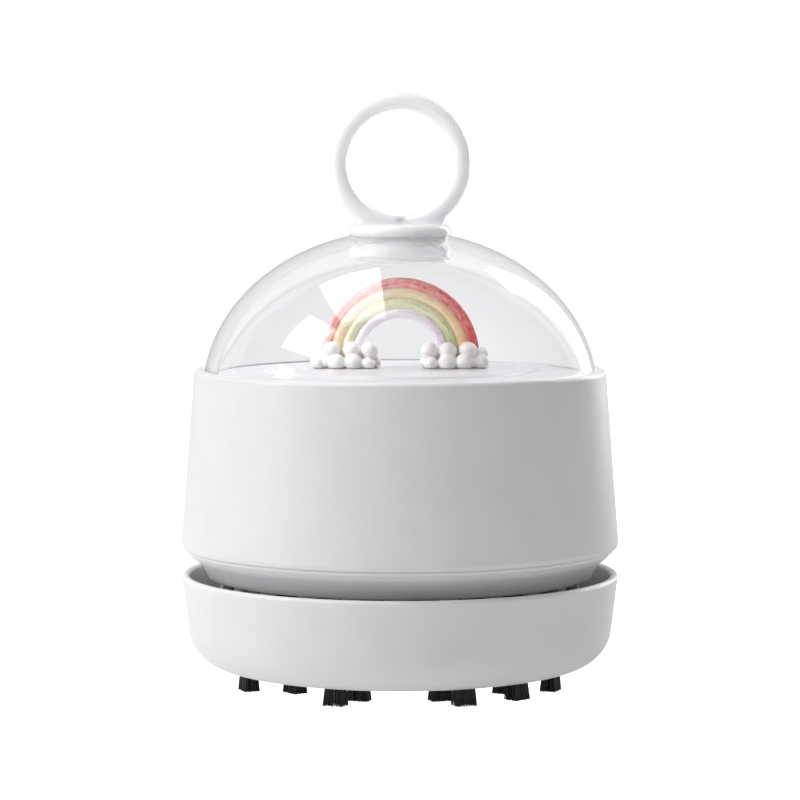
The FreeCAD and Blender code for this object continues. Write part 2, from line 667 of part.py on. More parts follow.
# ---- motor and its plate ---------------------------------------------------------------------
def motor_plate():
    """Round plate that closes the fan housing from above and carries the motor; ribs stiffen it."""
    plate = disc(HOUSING_R, PLATE_Z, PLATE_T)
    rib_start, rib_end = MOUNT_FLANGE_R + PLATE_RIB_GAP, BOSS_CIRCLE - BOSS_R - PLATE_RIB_GAP
    half = PLATE_RIB_T / 2
    rib = block(rib_start, rib_end, -half, half, MOTOR_Z - SINK, MOTOR_Z + PLATE_RIB_HEIGHT)
    plate = fused([plate] + ring_of(rib, PLATE_RIB_COUNT, BOSS_TURN - 180.0 / PLATE_RIB_COUNT))
    under, through = PLATE_Z - OVERCUT, PLATE_T + 2 * OVERCUT
    holes = [disc(PILOT_R + PILOT_GAP, under, through)]
    holes += [disc(SCREW_R + SCREW_GAP, under, through, x, y) for x, y in boss_points()]
    holes += [disc(MOTOR_SCREW_R + SCREW_GAP, under, through, x, y) for x, y in motor_screw_points()]
    holes += [disc(MOTOR_SCREW_R, PLATE_Z + BLIND_FLOOR, PLATE_T, x, y) for x, y in mount_screw_points()]
    sink_t = OVERCUT + PLATE_T / 2
    sinks = [disc(SCREW_HEAD_R + SCREW_GAP, under, sink_t, x, y) for x, y in motor_screw_points()]
    return plate.cut(holes + sinks)


def motor_screw_points():
    """Places of the screws that hold the motor's face to the plate."""
    step = 360.0 / MOTOR_SCREW_COUNT
    return [on_circle(MOTOR_SCREW_CIRCLE, index * step) for index in range(MOTOR_SCREW_COUNT)]


def mount_screw_points():
    """Places of the screws that hold the motor's cup to the plate."""
    angles = [MOUNT_SCREW_TURN + index * 360.0 / MOUNT_SCREW_COUNT for index in range(MOUNT_SCREW_COUNT)]
    return [on_circle(MOUNT_SCREW_CIRCLE, angle) for angle in angles]


def motor_can():
    """Drawn steel can with a pilot boss for the lower bushing."""
    inner = MOTOR_R - MOTOR_WALL
    floor = MOTOR_Z + MOTOR_WALL
    pilot_z = MOTOR_Z - PILOT_HEIGHT
    can = turned((BUSHING_R, pilot_z), (PILOT_R, pilot_z, EDGE_BREAK), (PILOT_R, MOTOR_Z),
                 (MOTOR_R, MOTOR_Z, MOTOR_ROUND), (MOTOR_R, MOTOR_TOP), (inner, MOTOR_TOP),
                 (inner, floor, MOTOR_ROUND / 2), (BUSHING_R, floor))
    under, through = MOTOR_Z - OVERCUT, MOTOR_WALL + 2 * OVERCUT
    return can.cut([disc(MOTOR_SCREW_R, under, through, x, y) for x, y in motor_screw_points()])


def motor_endcap():
    """Plastic cap in the can's upper end, with a collar round the bushing and slots for the terminals."""
    inner = MOTOR_R - MOTOR_WALL
    collar = BUSHING_R + ENDCAP_COLLAR
    under = MOTOR_TOP - ENDCAP_T
    low, high = under - ENDCAP_COLLAR_DROP, MOTOR_TOP + ENDCAP_COLLAR_RISE
    cap = turned((BUSHING_R, low), (collar, low, EDGE_BREAK), (collar, under), (inner, under),
                 (inner, MOTOR_TOP), (collar, MOTOR_TOP), (collar, high, EDGE_BREAK), (BUSHING_R, high))
    return cap.cut(terminals())


def terminals():
    """Two brass tabs through the end cap."""
    half = TERMINAL_WIDTH / 2
    low = MOTOR_TOP - ENDCAP_T - TERMINAL_TAIL
    tab = block(TERMINAL_R, TERMINAL_R + TERMINAL_T, -half, half, low, MOTOR_TOP + TERMINAL_HEIGHT)
    return ring_of(tab, 2, 90.0)


def motor_bushings():
    """Sintered bushings at both ends of the motor."""
    bore = SHAFT_R + SHAFT_GAP
    lower = tube(BUSHING_R, bore, MOTOR_Z - PILOT_HEIGHT, BUSHING_LENGTH)
    upper = tube(BUSHING_R, bore, MOTOR_TOP + BUSHING_RISE - BUSHING_LENGTH, BUSHING_LENGTH)
    return [lower, upper]


def motor_magnets():
    """Two curved magnets against the can's wall."""
    low, length = armature_z() - MAGNET_OVERHANG, ARMATURE_LENGTH + 2 * MAGNET_OVERHANG
    magnet = sector(MOTOR_R - MOTOR_WALL, ARMATURE_R + ARMATURE_GAP, low, length, -MAGNET_ARC / 2, MAGNET_ARC)
    return ring_of(magnet, 2)


def armature_z():
    """Lower end of the armature's iron."""
    return MOTOR_Z - PILOT_HEIGHT + BUSHING_LENGTH + ARMATURE_LIFT


def motor_armature():
    """Slotted iron core with a pocket for each coil, and the commutator above."""
    z = armature_z()
    under, through = z - OVERCUT, ARMATURE_LENGTH + 2 * OVERCUT
    yoke = COMMUTATOR_R + ARMATURE_YOKE
    slot = block(yoke, ARMATURE_R + OVERCUT, -SLOT_WIDTH / 2, SLOT_WIDTH / 2, under, under + through)
    pocket = disc(COIL_R, under, through, yoke + COIL_R, 0)
    core = disc(ARMATURE_R, z, ARMATURE_LENGTH).cut(ring_of(slot, POLE_COUNT) + ring_of(pocket, POLE_COUNT))
    commutator = disc(COMMUTATOR_R, z + ARMATURE_LENGTH - SINK, COMMUTATOR_LENGTH + SINK)
    return fused([core, commutator]).cut(disc(SHAFT_R, under, through + COMMUTATOR_LENGTH))


def shaft_z():
    """Lower end of the motor's shaft, inside the impeller's hub."""
    return BLADE_Z + FAN_HUB_NOSE


def motor_shaft():
    """Ground steel shaft from the impeller's hub to the upper bushing."""
    return disc(SHAFT_R, shaft_z(), MOTOR_TOP + BUSHING_RISE - shaft_z())


def motor_mount():
    """Cup round the motor, with a foot flange, ribs and a rim that carries the battery cradle."""
    inner = MOTOR_R + MOUNT_GAP
    outer = inner + MOUNT_WALL
    flange_z = MOTOR_Z + MOUNT_FLANGE_T
    cup = turned((inner, MOTOR_Z), (MOUNT_FLANGE_R, MOTOR_Z), (MOUNT_FLANGE_R, flange_z, EDGE_ROUND),
                 (outer, flange_z, MOUNT_FOOT_ROUND), (outer, CRADLE_Z), (inner, CRADLE_Z))
    rib_in, rib_foot, rib_z = outer - SINK, MOUNT_FLANGE_R - MOUNT_RIB_INSET, flange_z - MOUNT_FLANGE_T / 2
    rib_top = CRADLE_Z - MOUNT_RIB_DROP
    side = [(rib_in, rib_z, 0), (rib_foot, rib_z, 0), (rib_foot, flange_z, 0),
            (outer + MOUNT_RIB_TOP, rib_top, 0), (rib_in, rib_top, 0)]
    half = MOUNT_WALL / 3
    rib = Part.Face(rounded_wire(side, lambda x, z: V(x, -half, z))).extrude(V(0, 2 * half, 0))
    cup = fused([cup] + ring_of(rib, MOUNT_RIB_COUNT))
    under, through = MOTOR_Z - OVERCUT, MOUNT_FLANGE_T + 2 * OVERCUT
    return cup.cut([disc(MOTOR_SCREW_R + SCREW_GAP, under, through, x, y) for x, y in mount_screw_points()])


# ---- battery ---------------------------------------------------------------------------------
def battery_cell():
    """Round lithium cell lying along X, with a crimped end and a nipple."""
    half = BATTERY_LENGTH / 2
    crimp = half - CRIMP_PLACE
    tip = half + BATTERY_NIPPLE_LENGTH
    cell = turned((0, -half), (BATTERY_R, -half, EDGE_ROUND), (BATTERY_R, crimp - CRIMP_WIDTH / 2),
                  (BATTERY_R - CRIMP_DEPTH, crimp), (BATTERY_R, crimp + CRIMP_WIDTH / 2),
                  (BATTERY_R, half, EDGE_ROUND), (BATTERY_NIPPLE_R, half),
                  (BATTERY_NIPPLE_R, tip, EDGE_BREAK), (0, tip))
    cell.rotate(ORIGIN, V(0, 1, 0), 90)
    cell.translate(V(0, 0, BATTERY_Z))
    return cell


def contact_faces():
    """X of the contact plates' inner faces: at the flat end and at the nipple."""
    half = BATTERY_LENGTH / 2
    return -half, half + BATTERY_NIPPLE_LENGTH


def battery_contacts():
    """Sprung metal plates at both ends of the cell."""
    low, high = contact_faces()
    y, z0, z1 = BATTERY_R * 0.55, BATTERY_Z - BATTERY_R * 0.8, BATTERY_Z + BATTERY_R * 0.5
    return [block(low - CONTACT_T, low, -y, y, z0, z1), block(high, high + CONTACT_T, -y, y, z0, z1)]


def battery_cradle():
    """Open trough for the cell: a floor on the motor's cup, two sides, two ends and two saddles."""
    low, high = contact_faces()
    low, high = low - CONTACT_T, high + CONTACT_T
    side = BATTERY_R + CRADLE_GAP
    floor, top = CRADLE_Z + CRADLE_T, CRADLE_Z + CRADLE_T + CRADLE_HEIGHT
    out = side + CRADLE_WALL
    trough = block(low - CRADLE_WALL, high + CRADLE_WALL, -out, out, CRADLE_Z, top)
    trough = trough.cut(block(low, high, -side, side, floor, top + OVERCUT))
    middle, reach, half = BATTERY_LENGTH * 0.3, side + CRADLE_WALL / 2, SADDLE_T / 2
    saddle_z = floor + CRADLE_HEIGHT * 0.6
    saddles = [block(x - half, x + half, -reach, reach, floor - SINK, saddle_z) for x in (-middle, middle)]
    trough = fused([trough] + saddles)
    start = V(-BATTERY_LENGTH / 2, 0, BATTERY_Z)
    bed = Part.makeCylinder(BATTERY_R + SADDLE_GAP, BATTERY_LENGTH, start, V(1, 0, 0))
    return trough.cut([bed, disc(TERMINAL_R + TERMINAL_CLEAR, CRADLE_Z - OVERCUT, CRADLE_T + 2 * OVERCUT)])


# ---- electronics on the back -----------------------------------------------------------------
def housing_radius(z):
    """Outer radius of the housing's tapered side at a height."""
    low, high = SEAM_Z + SHELL_WIDEST_LIFT, RIM_Z - SHELL_RIM_ROUND
    return SHELL_WIDEST_R + (SHELL_TOP_R - SHELL_WIDEST_R) * (z - low) / (high - low)


def usb_z():
    """Height of the charging socket's middle."""
    return BOARD_Z + USB_LIFT


def lamp_z():
    """Height of the indicator light."""
    return BOARD_Z + LAMP_LIFT


def switch_z():
    """Height of the switch knob's middle in its lower position."""
    return BOARD_Z + SWITCH_LIFT


def pocket_y():
    """Flat floor of the pocket in which the knob slides."""
    return housing_radius(switch_z()) - POCKET_DEPTH


def knob_back():
    """Inner face of the knob's flange, clear of the housing's wall at both ends of the travel."""
    flange_x, flange_z = knob_flange()
    ends = switch_z() - flange_z, switch_z() + SWITCH_TRAVEL + flange_z
    inner = min(housing_radius(z) for z in ends) - SHELL_WALL
    return math.sqrt(inner ** 2 - flange_x ** 2) - KNOB_GAP - FLANGE_T


def knob_flange():
    """Half width and half height of the knob's flange."""
    return NECK_WIDTH / 2 + FLANGE_MARGIN, NECK_HEIGHT / 2 + FLANGE_MARGIN


def board_face():
    """Outer face of the circuit board, on which the switch reaches the knob."""
    return knob_back() - SWITCH_PLAY - SWITCH_T


def circuit_board():
    """Board with charging chip, inductor and a small part on its inner face."""
    half, inner = BOARD_WIDTH / 2, board_face() - BOARD_T
    board = block(-half, half, inner, board_face(), BOARD_Z, BOARD_Z + BOARD_HEIGHT)
    row_1, row_2, row_3 = (BOARD_Z + CHIP_SIZE * step for step in (1, 2, 3))
    chip = block(-CHIP_SIZE, 0, inner - CHIP_T, inner + SINK, row_1, row_2)
    coil_start = V(CHIP_SIZE, inner - CHIP_T * 2, (row_1 + row_2) / 2)
    coil = Part.makeCylinder(CHIP_SIZE / 2, CHIP_T * 2, coil_start, V(0, 1, 0))
    small = block(CHIP_SIZE / 2, CHIP_SIZE, inner - CHIP_T, inner + SINK, row_3, row_3 + CHIP_SIZE / 2)
    return fused([board, chip, coil, small])


def usb_socket():
    """Charging socket: folded metal shell with a tongue, and its body at the board."""
    face = housing_radius(usb_z()) - USB_RECESS
    depth_y = face - USB_DEPTH
    shell = stadium(USB_WIDTH, USB_HEIGHT, usb_z(), board_face(), face - board_face())
    mouth = stadium(USB_WIDTH - 2 * USB_WALL, USB_HEIGHT - 2 * USB_WALL, usb_z(), depth_y, USB_DEPTH + OVERCUT)
    half_x, half_z = USB_TONGUE_WIDTH / 2, USB_TONGUE_T / 2
    tongue = block(-half_x, half_x, depth_y - SINK, face - USB_TONGUE_INSET, usb_z() - half_z, usb_z() + half_z)
    return fused([shell.cut(mouth), tongue])


def indicator_light():
    """Clear light guide from the board to the housing's surface, with a domed end."""
    tip = housing_radius(lamp_z()) + LAMP_PROUD
    rod_end = tip - LAMP_R * 0.4
    rod = Part.makeCylinder(LAMP_R, rod_end - board_face(), V(0, board_face(), lamp_z()), V(0, 1, 0))
    bend = LAMP_R * 1.45
    ball = Part.makeSphere(bend, V(0, tip - bend, lamp_z()))
    end = Part.makeCylinder(LAMP_R, LAMP_R, V(0, tip - LAMP_R * 0.6, lamp_z()), V(0, 1, 0)).common(ball)
    return fused([rod, end])


def switch_case():
    """Metal-cased slide switch on the board, open along the travel of its stem."""
    z0 = switch_z() + SWITCH_TRAVEL / 2 - SWITCH_HEIGHT / 2
    front = board_face() + SWITCH_T
    case = block(-SWITCH_WIDTH / 2, SWITCH_WIDTH / 2, board_face(), front, z0, z0 + SWITCH_HEIGHT)
    half = STEM_SIZE / 2 + KNOB_GAP
    low, high = switch_z() - half, switch_z() + SWITCH_TRAVEL + half
    return case.cut(block(-half, half, front - SWITCH_T * 0.6, front + OVERCUT, low, high))


def switch_actuator():
    """Plastic stem of the slide switch, from inside its case into the knob."""
    half = STEM_SIZE / 2
    start = board_face() + SWITCH_T * 0.4 + KNOB_GAP
    return block(-half, half, start, knob_back() + STEM_BITE, switch_z() - half, switch_z() + half)


def switch_knob():
    """Ribbed finger pad outside, neck through the slot and a flange inside, pushed onto the stem."""
    z, back, pad_y = switch_z(), knob_back(), pocket_y() + KNOB_GAP
    half = KNOB_SIZE / 2
    corners = [(-half, z - half), (half, z - half), (half, z + half), (-half, z + half)]
    outline = [(x, height, KNOB_ROUND) for x, height in corners]
    pad = Part.Face(rounded_wire(outline, lambda x, height: V(x, pad_y, height))).extrude(V(0, KNOB_T, 0))
    outside = pad_y + KNOB_T
    ribs = []
    for index in range(KNOB_RIBS):
        low = z + (index - (KNOB_RIBS - 1) / 2) * KNOB_RIB_PITCH - KNOB_RIB_SIZE / 2
        top, reach = low + KNOB_RIB_SIZE, half * 0.7
        ribs.append(block(-reach, reach, outside - SINK, outside + KNOB_RIB_HEIGHT, low, top))
    neck = block(-NECK_WIDTH / 2, NECK_WIDTH / 2, back, pad_y + SINK, z - NECK_HEIGHT / 2, z + NECK_HEIGHT / 2)
    flange_x, flange_z = knob_flange()
    flange = block(-flange_x, flange_x, back, back + FLANGE_T, z - flange_z, z + flange_z)
    return fused([pad, neck, flange] + ribs).cut(switch_actuator())


# ---- skirt and housing -----------------------------------------------------------------------
def lower_skirt():
    """Ring that tapers from a rounded lip under the housing down into the tray, with a spigot above."""
    bore = SKIRT_R - SKIRT_WALL
    lip_z = SEAM_Z - SKIRT_LIP_DROP
    cheek_r, cheek_z = SKIRT_LIP_R - SKIRT_CHEEK_IN, SEAM_Z - SKIRT_CHEEK
    spigot_z = SEAM_Z + SPIGOT_HEIGHT
    spigot = housing_radius(spigot_z) - SHELL_WALL - SPIGOT_GAP
    spigot_in = spigot - SPIGOT_WALL
    flange_in, flange_z = bore - SKIRT_WALL, MOTOR_Z + SKIRT_FLANGE_T
    return turned((bore, SKIRT_Z, EDGE_BREAK), (SKIRT_R, SKIRT_Z, EDGE_BREAK),
                  (cheek_r, cheek_z, SKIRT_CHEEK_ROUND), (SKIRT_LIP_R, lip_z, SKIRT_LIP_ROUND),
                  (SKIRT_LIP_R - SKIRT_LIP_ROUND, SEAM_Z), (spigot, SEAM_Z), (spigot, spigot_z, EDGE_BREAK),
                  (spigot_in, spigot_z, EDGE_BREAK), (spigot_in, flange_z), (flange_in, flange_z),
                  (flange_in, MOTOR_Z), (bore, MOTOR_Z))


def shell_core():
    """Cone inside the middle of the housing's wall, to which ribs and rails reach."""
    low, high = SEAM_Z - SKIRT_DROP, RIM_Z
    inset = SHELL_WALL / 2
    return turned((0, low), (housing_radius(low) - inset, low), (housing_radius(high) - inset, high), (0, high))


def shell_boss(x, y, angle):
    """Screw boss on the motor plate, with a rib to the housing's wall."""
    boss = disc(SHELL_BOSS_R, MOTOR_Z, BOSS_HEIGHT, x, y)
    low, high = SEAM_Z + SPIGOT_HEIGHT + RIB_CLEAR, MOTOR_Z + BOSS_HEIGHT - BOSS_RIB_DROP
    rib = block(BOSS_CIRCLE, SHELL_WIDEST_R, -BOSS_RIB_T / 2, BOSS_RIB_T / 2, low, high)
    hole = disc(SCREW_R, MOTOR_Z - OVERCUT, OVERCUT + SCREW_BITE + BORE_SPARE, x, y)
    return fused([boss, turn(rib, angle).common(shell_core())]).cut(hole)


def board_rail(side):
    """Grooved rail on the housing's back wall that holds one edge of the circuit board."""
    edge = side * BOARD_WIDTH / 2
    inner = board_face() - BOARD_T - RAIL_GAP
    x_in, x_bottom = edge - side * RAIL_GRIP, edge + side * RAIL_GAP
    x_out, x_open = x_bottom + side * RAIL_WALL, x_in - side * OVERCUT
    low, high = SEAM_Z + SPIGOT_HEIGHT + RIB_CLEAR, BOARD_Z + BOARD_HEIGHT - RAIL_DROP
    rail = block(min(x_in, x_out), max(x_in, x_out), inner - RAIL_WALL, SHELL_WIDEST_R, low, high)
    groove = block(min(x_open, x_bottom), max(x_open, x_bottom), inner, board_face() + RAIL_GAP,
                   low - OVERCUT, high + OVERCUT)
    return rail.common(shell_core()).cut(groove)


def shell_cutouts():
    """Pocket and slot of the switch, mouth of the charging socket and hole of the indicator light."""
    z, face, out = switch_z(), board_face(), SHELL_WIDEST_R + OVERCUT
    half = KNOB_SIZE / 2 + POCKET_MARGIN
    low, high = z - half, z + SWITCH_TRAVEL + half
    corners = [(-half, low), (half, low), (half, high), (-half, high)]
    outline = [(x, height, POCKET_ROUND) for x, height in corners]
    wire = rounded_wire(outline, lambda x, height: V(x, pocket_y(), height))
    pocket = Part.Face(wire).extrude(V(0, out - pocket_y(), 0))
    slot_x, slot_z = NECK_WIDTH / 2 + KNOB_GAP, NECK_HEIGHT / 2 + KNOB_GAP
    slot = block(-slot_x, slot_x, face, out, z - slot_z, z + SWITCH_TRAVEL + slot_z)
    mouth = stadium(USB_WIDTH + 2 * USB_GAP, USB_HEIGHT + 2 * USB_GAP, usb_z(), face, out - face)
    lamp = Part.makeCylinder(LAMP_R + LAMP_GAP, out - face, V(0, face, lamp_z()), V(0, 1, 0))
    return [pocket, slot, mouth, lamp]


def upper_shell():
    """Tapered housing with a rounded rim, a ledge for the deck, screw bosses and board rails."""
    widest_z = SEAM_Z + SHELL_WIDEST_LIFT
    low_in = housing_radius(SEAM_Z) - SHELL_WALL
    rim_in = DOME_R + DOME_GAP
    seat_z = DECK_Z - DECK_FOOT_DROP
    foot_z = seat_z - DECK_FOOT_T
    haunch_z = foot_z - LEDGE_T - LEDGE_WIDTH
    high_in = housing_radius(haunch_z) - SHELL_WALL
    shell = turned((low_in, SEAM_Z), (SHELL_SEAM_R, SEAM_Z, EDGE_BREAK),
                   (SHELL_WIDEST_R, widest_z, SHELL_WIDEST_ROUND),
                   (housing_radius(RIM_Z), RIM_Z, SHELL_RIM_ROUND), (rim_in, RIM_Z, EDGE_BREAK), (rim_in, foot_z),
                   (rim_in - LEDGE_WIDTH, foot_z), (rim_in - LEDGE_WIDTH, foot_z - LEDGE_T), (high_in, haunch_z))
    angles = [BOSS_TURN + index * 360.0 / BOSS_COUNT for index in range(BOSS_COUNT)]
    bosses = [shell_boss(x, y, angle) for (x, y), angle in zip(boss_points(), angles)]
    shell = fused([shell] + bosses + [board_rail(-1), board_rail(1)])
    return shell.cut(shell_cutouts())


def housing_screws():
    """Three long screws from the fan housing up into the housing's bosses."""
    z = INLET_Z + SCREW_HEAD_T
    return [screw(x, y, z, MOTOR_Z + SCREW_BITE - z, SCREW_R, head_down=True) for x, y in boss_points()]


def motor_screws():
    """Two short screws through the plate into the motor's face."""
    z = PLATE_Z + PLATE_T / 2
    length = MOTOR_Z + MOTOR_WALL + SCREW_PROUD - z
    return [screw(x, y, z, length, MOTOR_SCREW_R, head_down=True) for x, y in motor_screw_points()]


def mount_screws():
    """Three short screws through the cup's flange into the plate."""
    z = PLATE_Z + BLIND_FLOOR
    return [screw(x, y, z, MOTOR_Z + MOUNT_FLANGE_T - z, MOTOR_SCREW_R) for x, y in mount_screw_points()]


def display_deck():
    """Top of the housing: a raised floor with a low podium, and a foot ring on which the dome stands."""
    seat_z = DECK_Z - DECK_FOOT_DROP
    foot_z = seat_z - DECK_FOOT_T
    wall_out = DOME_R - DOME_WALL - DECK_GAP
    wall_in = wall_out - DECK_T
    return turned((0, DECK_UNDER), (wall_in, DECK_UNDER, EDGE_ROUND), (wall_in, foot_z), (DOME_R, foot_z),
                  (DOME_R, seat_z), (wall_out, seat_z), (wall_out, DECK_Z, EDGE_ROUND),
                  (PODIUM_R + PODIUM_SLOPE, DECK_Z, PODIUM_ROUND), (PODIUM_R, PODIUM_Z, PODIUM_ROUND),
                  (0, PODIUM_Z))


# ---- dome and handle -------------------------------------------------------------------------
def ellipse_edge(half_width, half_height, start, end):
    """Edge along the dome's ellipse between two angles, in the XZ plane."""
    points = [V(math.cos(angle), 0, math.sin(angle)) for angle in (start, (start + end) / 2, end)]
    arc = Part.Arc(*points).toShape()
    matrix = FreeCAD.Matrix()
    matrix.scale(half_width, 1, half_height)
    arc = arc.transformGeometry(matrix)
    arc.translate(V(0, 0, DOME_CENTRE_Z))
    return arc


def ellipse_ends(edge):
    """Ends of an edge, the lower one first."""
    first, last = edge.Vertexes[0].Point, edge.Vertexes[-1].Point
    return (first, last) if first.z < last.z else (last, first)


def dome_solid():
    """Solid bounded by the dome's outer ellipse."""
    arc = ellipse_edge(DOME_BULGE_R, DOME_HALF_HEIGHT, 0.0, math.pi / 2)
    low, high = ellipse_ends(arc)
    centre = V(0, 0, DOME_CENTRE_Z)
    sides = [Part.LineSegment(high, centre).toShape(), Part.LineSegment(centre, low).toShape()]
    return spun(Part.Wire([arc] + sides))


def dome_cover():
    """Clear dome: an elliptic shell with a straight foot in the housing's groove and a hole at the crown."""
    foot_z = DECK_Z - DECK_FOOT_DROP
    start = math.asin(DOME_SINK / DOME_HALF_HEIGHT)
    hole = PLUG_R + PLUG_GAP
    outer = ellipse_edge(DOME_BULGE_R, DOME_HALF_HEIGHT, start, math.acos(hole / DOME_BULGE_R))
    inner_w, inner_h = DOME_BULGE_R - DOME_WALL, DOME_HALF_HEIGHT - DOME_WALL
    inner = ellipse_edge(inner_w, inner_h, math.asin(DOME_SINK / inner_h), math.acos(hole / inner_w))
    outer_low, outer_high = ellipse_ends(outer)
    inner_low, inner_high = ellipse_ends(inner)
    corners = [outer_high, inner_high]
    foot = [inner_low, V(inner_low.x, 0, foot_z), V(outer_low.x, 0, foot_z), outer_low]
    edges = [outer, Part.LineSegment(*corners).toShape(), inner]
    edges += [Part.LineSegment(a, b).toShape() for a, b in zip(foot, foot[1:])]
    return spun(Part.Wire(Part.__sortEdges__(edges)))


def ring_handle():
    """Finger ring that flares into a round collar on the dome, with a plug through the dome's hole."""
    top = CROWN_Z + COLLAR_RISE
    low = top - COLLAR_DEPTH
    ring = Part.makeTorus(RING_R, RING_TUBE_R, V(0, 0, CROWN_Z + RING_LIFT), V(0, 1, 0))
    collar = turned((0, low), (COLLAR_TOP_R, low, COLLAR_EDGE), (COLLAR_TOP_R, top, COLLAR_EDGE), (0, top))
    handle = collar.cut(dome_solid()).fuse(ring).removeSplitter()
    flat = [edge for edge in handle.Edges if edge.BoundBox.ZLength < NEAR]
    seam = [edge for edge in flat if abs(edge.BoundBox.ZMax - top) < NEAR and edge.BoundBox.YLength < RING_R]
    handle = handle.makeFillet(RING_FLARE, seam)
    plug_z = retainer_z() + RETAINER_T
    plug = disc(PLUG_R, plug_z, CROWN_Z + SINK - plug_z)
    return fused([handle, plug]).cut(disc(SCREW_R, plug_z - OVERCUT, OVERCUT + HANDLE_SCREW_BITE + BORE_SPARE))


def dome_inside(radius):
    """Height of the dome's inner surface at a radius."""
    inner_w, inner_h = DOME_BULGE_R - DOME_WALL, DOME_HALF_HEIGHT - DOME_WALL
    return DOME_CENTRE_Z + inner_h * math.sqrt(1 - (radius / inner_w) ** 2)


def retainer_z():
    """Lower face of the disc that holds the handle from inside the dome."""
    return dome_inside(RETAINER_R) - RETAINER_T


def handle_retainer():
    """Stepped disc against the dome's inner face."""
    z = retainer_z()
    step_r, step_z = RETAINER_R - RETAINER_STEP, z + RETAINER_STEP
    seat_r = PLUG_R + PLUG_GAP
    top = z + RETAINER_T
    body = turned((0, z), (step_r, z, EDGE_BREAK), (step_r, step_z), (RETAINER_R, step_z, EDGE_BREAK),
                  (RETAINER_R, top), (seat_r, dome_inside(seat_r)), (seat_r, top), (0, top))
    hole = disc(SCREW_R + SCREW_GAP, z - OVERCUT, RETAINER_T + 2 * OVERCUT)
    sink = disc(SCREW_HEAD_R + SCREW_GAP, z - OVERCUT, SCREW_HEAD_T + OVERCUT)
    return body.cut([hole, sink])


def handle_screw():
    """Screw that pulls the handle down on the dome."""
    z = retainer_z() + SCREW_HEAD_T
    return screw(0, 0, z, RETAINER_T - SCREW_HEAD_T + HANDLE_SCREW_BITE, SCREW_R, head_down=True)


# ---- ornament --------------------------------------------------------------------------------
def band_radius(index):
    """Radius of one rainbow band's middle line, counted from the inside."""
    return BAND_INNER_R + index * BAND_PITCH


def foot_z():
    """Height of the bands' feet, on the floor of the clouds' pockets."""
    return PODIUM_Z + CLOUD_LOWER_R


def arch_z():
    """Height of the arch's centre."""
    return PODIUM_Z + ARCH_LIFT


def rainbow_band(index):
    """Half ring of round section that stands on two straight feet in the clouds."""
    radius = band_radius(index)
    right, crown, left = V(radius, 0, arch_z()), V(0, 0, arch_z() + radius), V(-radius, 0, arch_z())
    path = Part.Wire([Part.LineSegment(V(radius, 0, foot_z()), right).toShape(),
                      Part.Arc(right, crown, left).toShape(),
                      Part.LineSegment(left, V(-radius, 0, foot_z())).toShape()])
    section = Part.Wire(Part.Circle(V(radius, 0, foot_z()), AXIS, BAND_R).toShape())
    return path.makePipeShell([section], True, False)


def ball_row(count, pitch, middle, y, z, radius):
    """Row of balls along X."""
    first = middle - (count - 1) / 2 * pitch
    return [Part.makeSphere(radius, V(first + index * pitch, y, z), V(0, 1, 0)) for index in range(count)]


def cloud(side):
    """Balls round the rainbow's feet: two rows in front of a pocket for the feet, and a row behind it."""
    middle, front = side * CLOUD_MIDDLE, CLOUD_FRONT_Y
    low, back = foot_z(), PODIUM_Z + CLOUD_BACK_R
    high = low + CLOUD_RISE
    balls = ball_row(CLOUD_LOWER_COUNT, CLOUD_LOWER_PITCH, middle, front, low, CLOUD_LOWER_R)
    balls += ball_row(CLOUD_UPPER_COUNT, CLOUD_UPPER_PITCH, middle, front, high, CLOUD_UPPER_R)
    balls += ball_row(CLOUD_BACK_COUNT, CLOUD_UPPER_PITCH, middle, CLOUD_BACK_Y, back, CLOUD_BACK_R)
    top, half = high + CLOUD_UPPER_R, BAND_R + CLOUD_PLAY
    inner = math.sqrt((band_radius(0) - half) ** 2 - (top - arch_z()) ** 2)
    outer = band_radius(len(BAND_NAMES) - 1) + half
    ends = sorted((side * inner, side * outer))
    return fused(balls).cut(block(*ends, -half, half, low, top))


# ---- all pieces ------------------------------------------------------------------------------
def all_pieces():
    """Every node's name and its solid, or its list of solids."""
    outer_tufts, inner_tufts = tuft_rows()
    pieces = {
        "outer_tufts": outer_tufts, "inner_tufts": inner_tufts,
        "brush_plate": brush_plate(outer_tufts + inner_tufts),
        "dust_tray": dust_tray(), "suction_mouth": suction_mouth(), "dust_cup": dust_cup(),
        "filter_holder": filter_holder(), "tray_seal": tray_seal(),
        "filter_mesh": disc(SCREEN_R, SCREEN_Z, SCREEN_T), "filter_foam": disc(SCREEN_R, FOAM_Z, FOAM_T),
        "fan_housing": fan_housing(), "impeller": impeller(), "motor_plate": motor_plate(),
        "motor_can": motor_can(), "motor_endcap": motor_endcap(), "motor_bushings": motor_bushings(),
        "motor_magnets": motor_magnets(), "motor_armature": motor_armature(), "motor_shaft": motor_shaft(),
        "motor_terminals": terminals(), "motor_mount": motor_mount(),
        "housing_screws": housing_screws(), "motor_screws": motor_screws(), "mount_screws": mount_screws(),
        "battery_cell": battery_cell(), "battery_contacts": battery_contacts(),
        "battery_cradle": battery_cradle(),
        "circuit_board": circuit_board(), "usb_socket": usb_socket(), "indicator_light": indicator_light(),
        "switch_case": switch_case(), "switch_actuator": switch_actuator(), "switch_knob": switch_knob(),
        "lower_skirt": lower_skirt(), "upper_shell": upper_shell(), "display_deck": display_deck(),
        "dome_cover": dome_cover(), "ring_handle": ring_handle(), "handle_retainer": handle_retainer(),
        "handle_screw": handle_screw(),
        "cloud_left": cloud(-1), "cloud_right": cloud(1),
    }
    for index, name in enumerate(BAND_NAMES):
        pieces["rainbow_" + name] = rainbow_band(index)
    return pieces


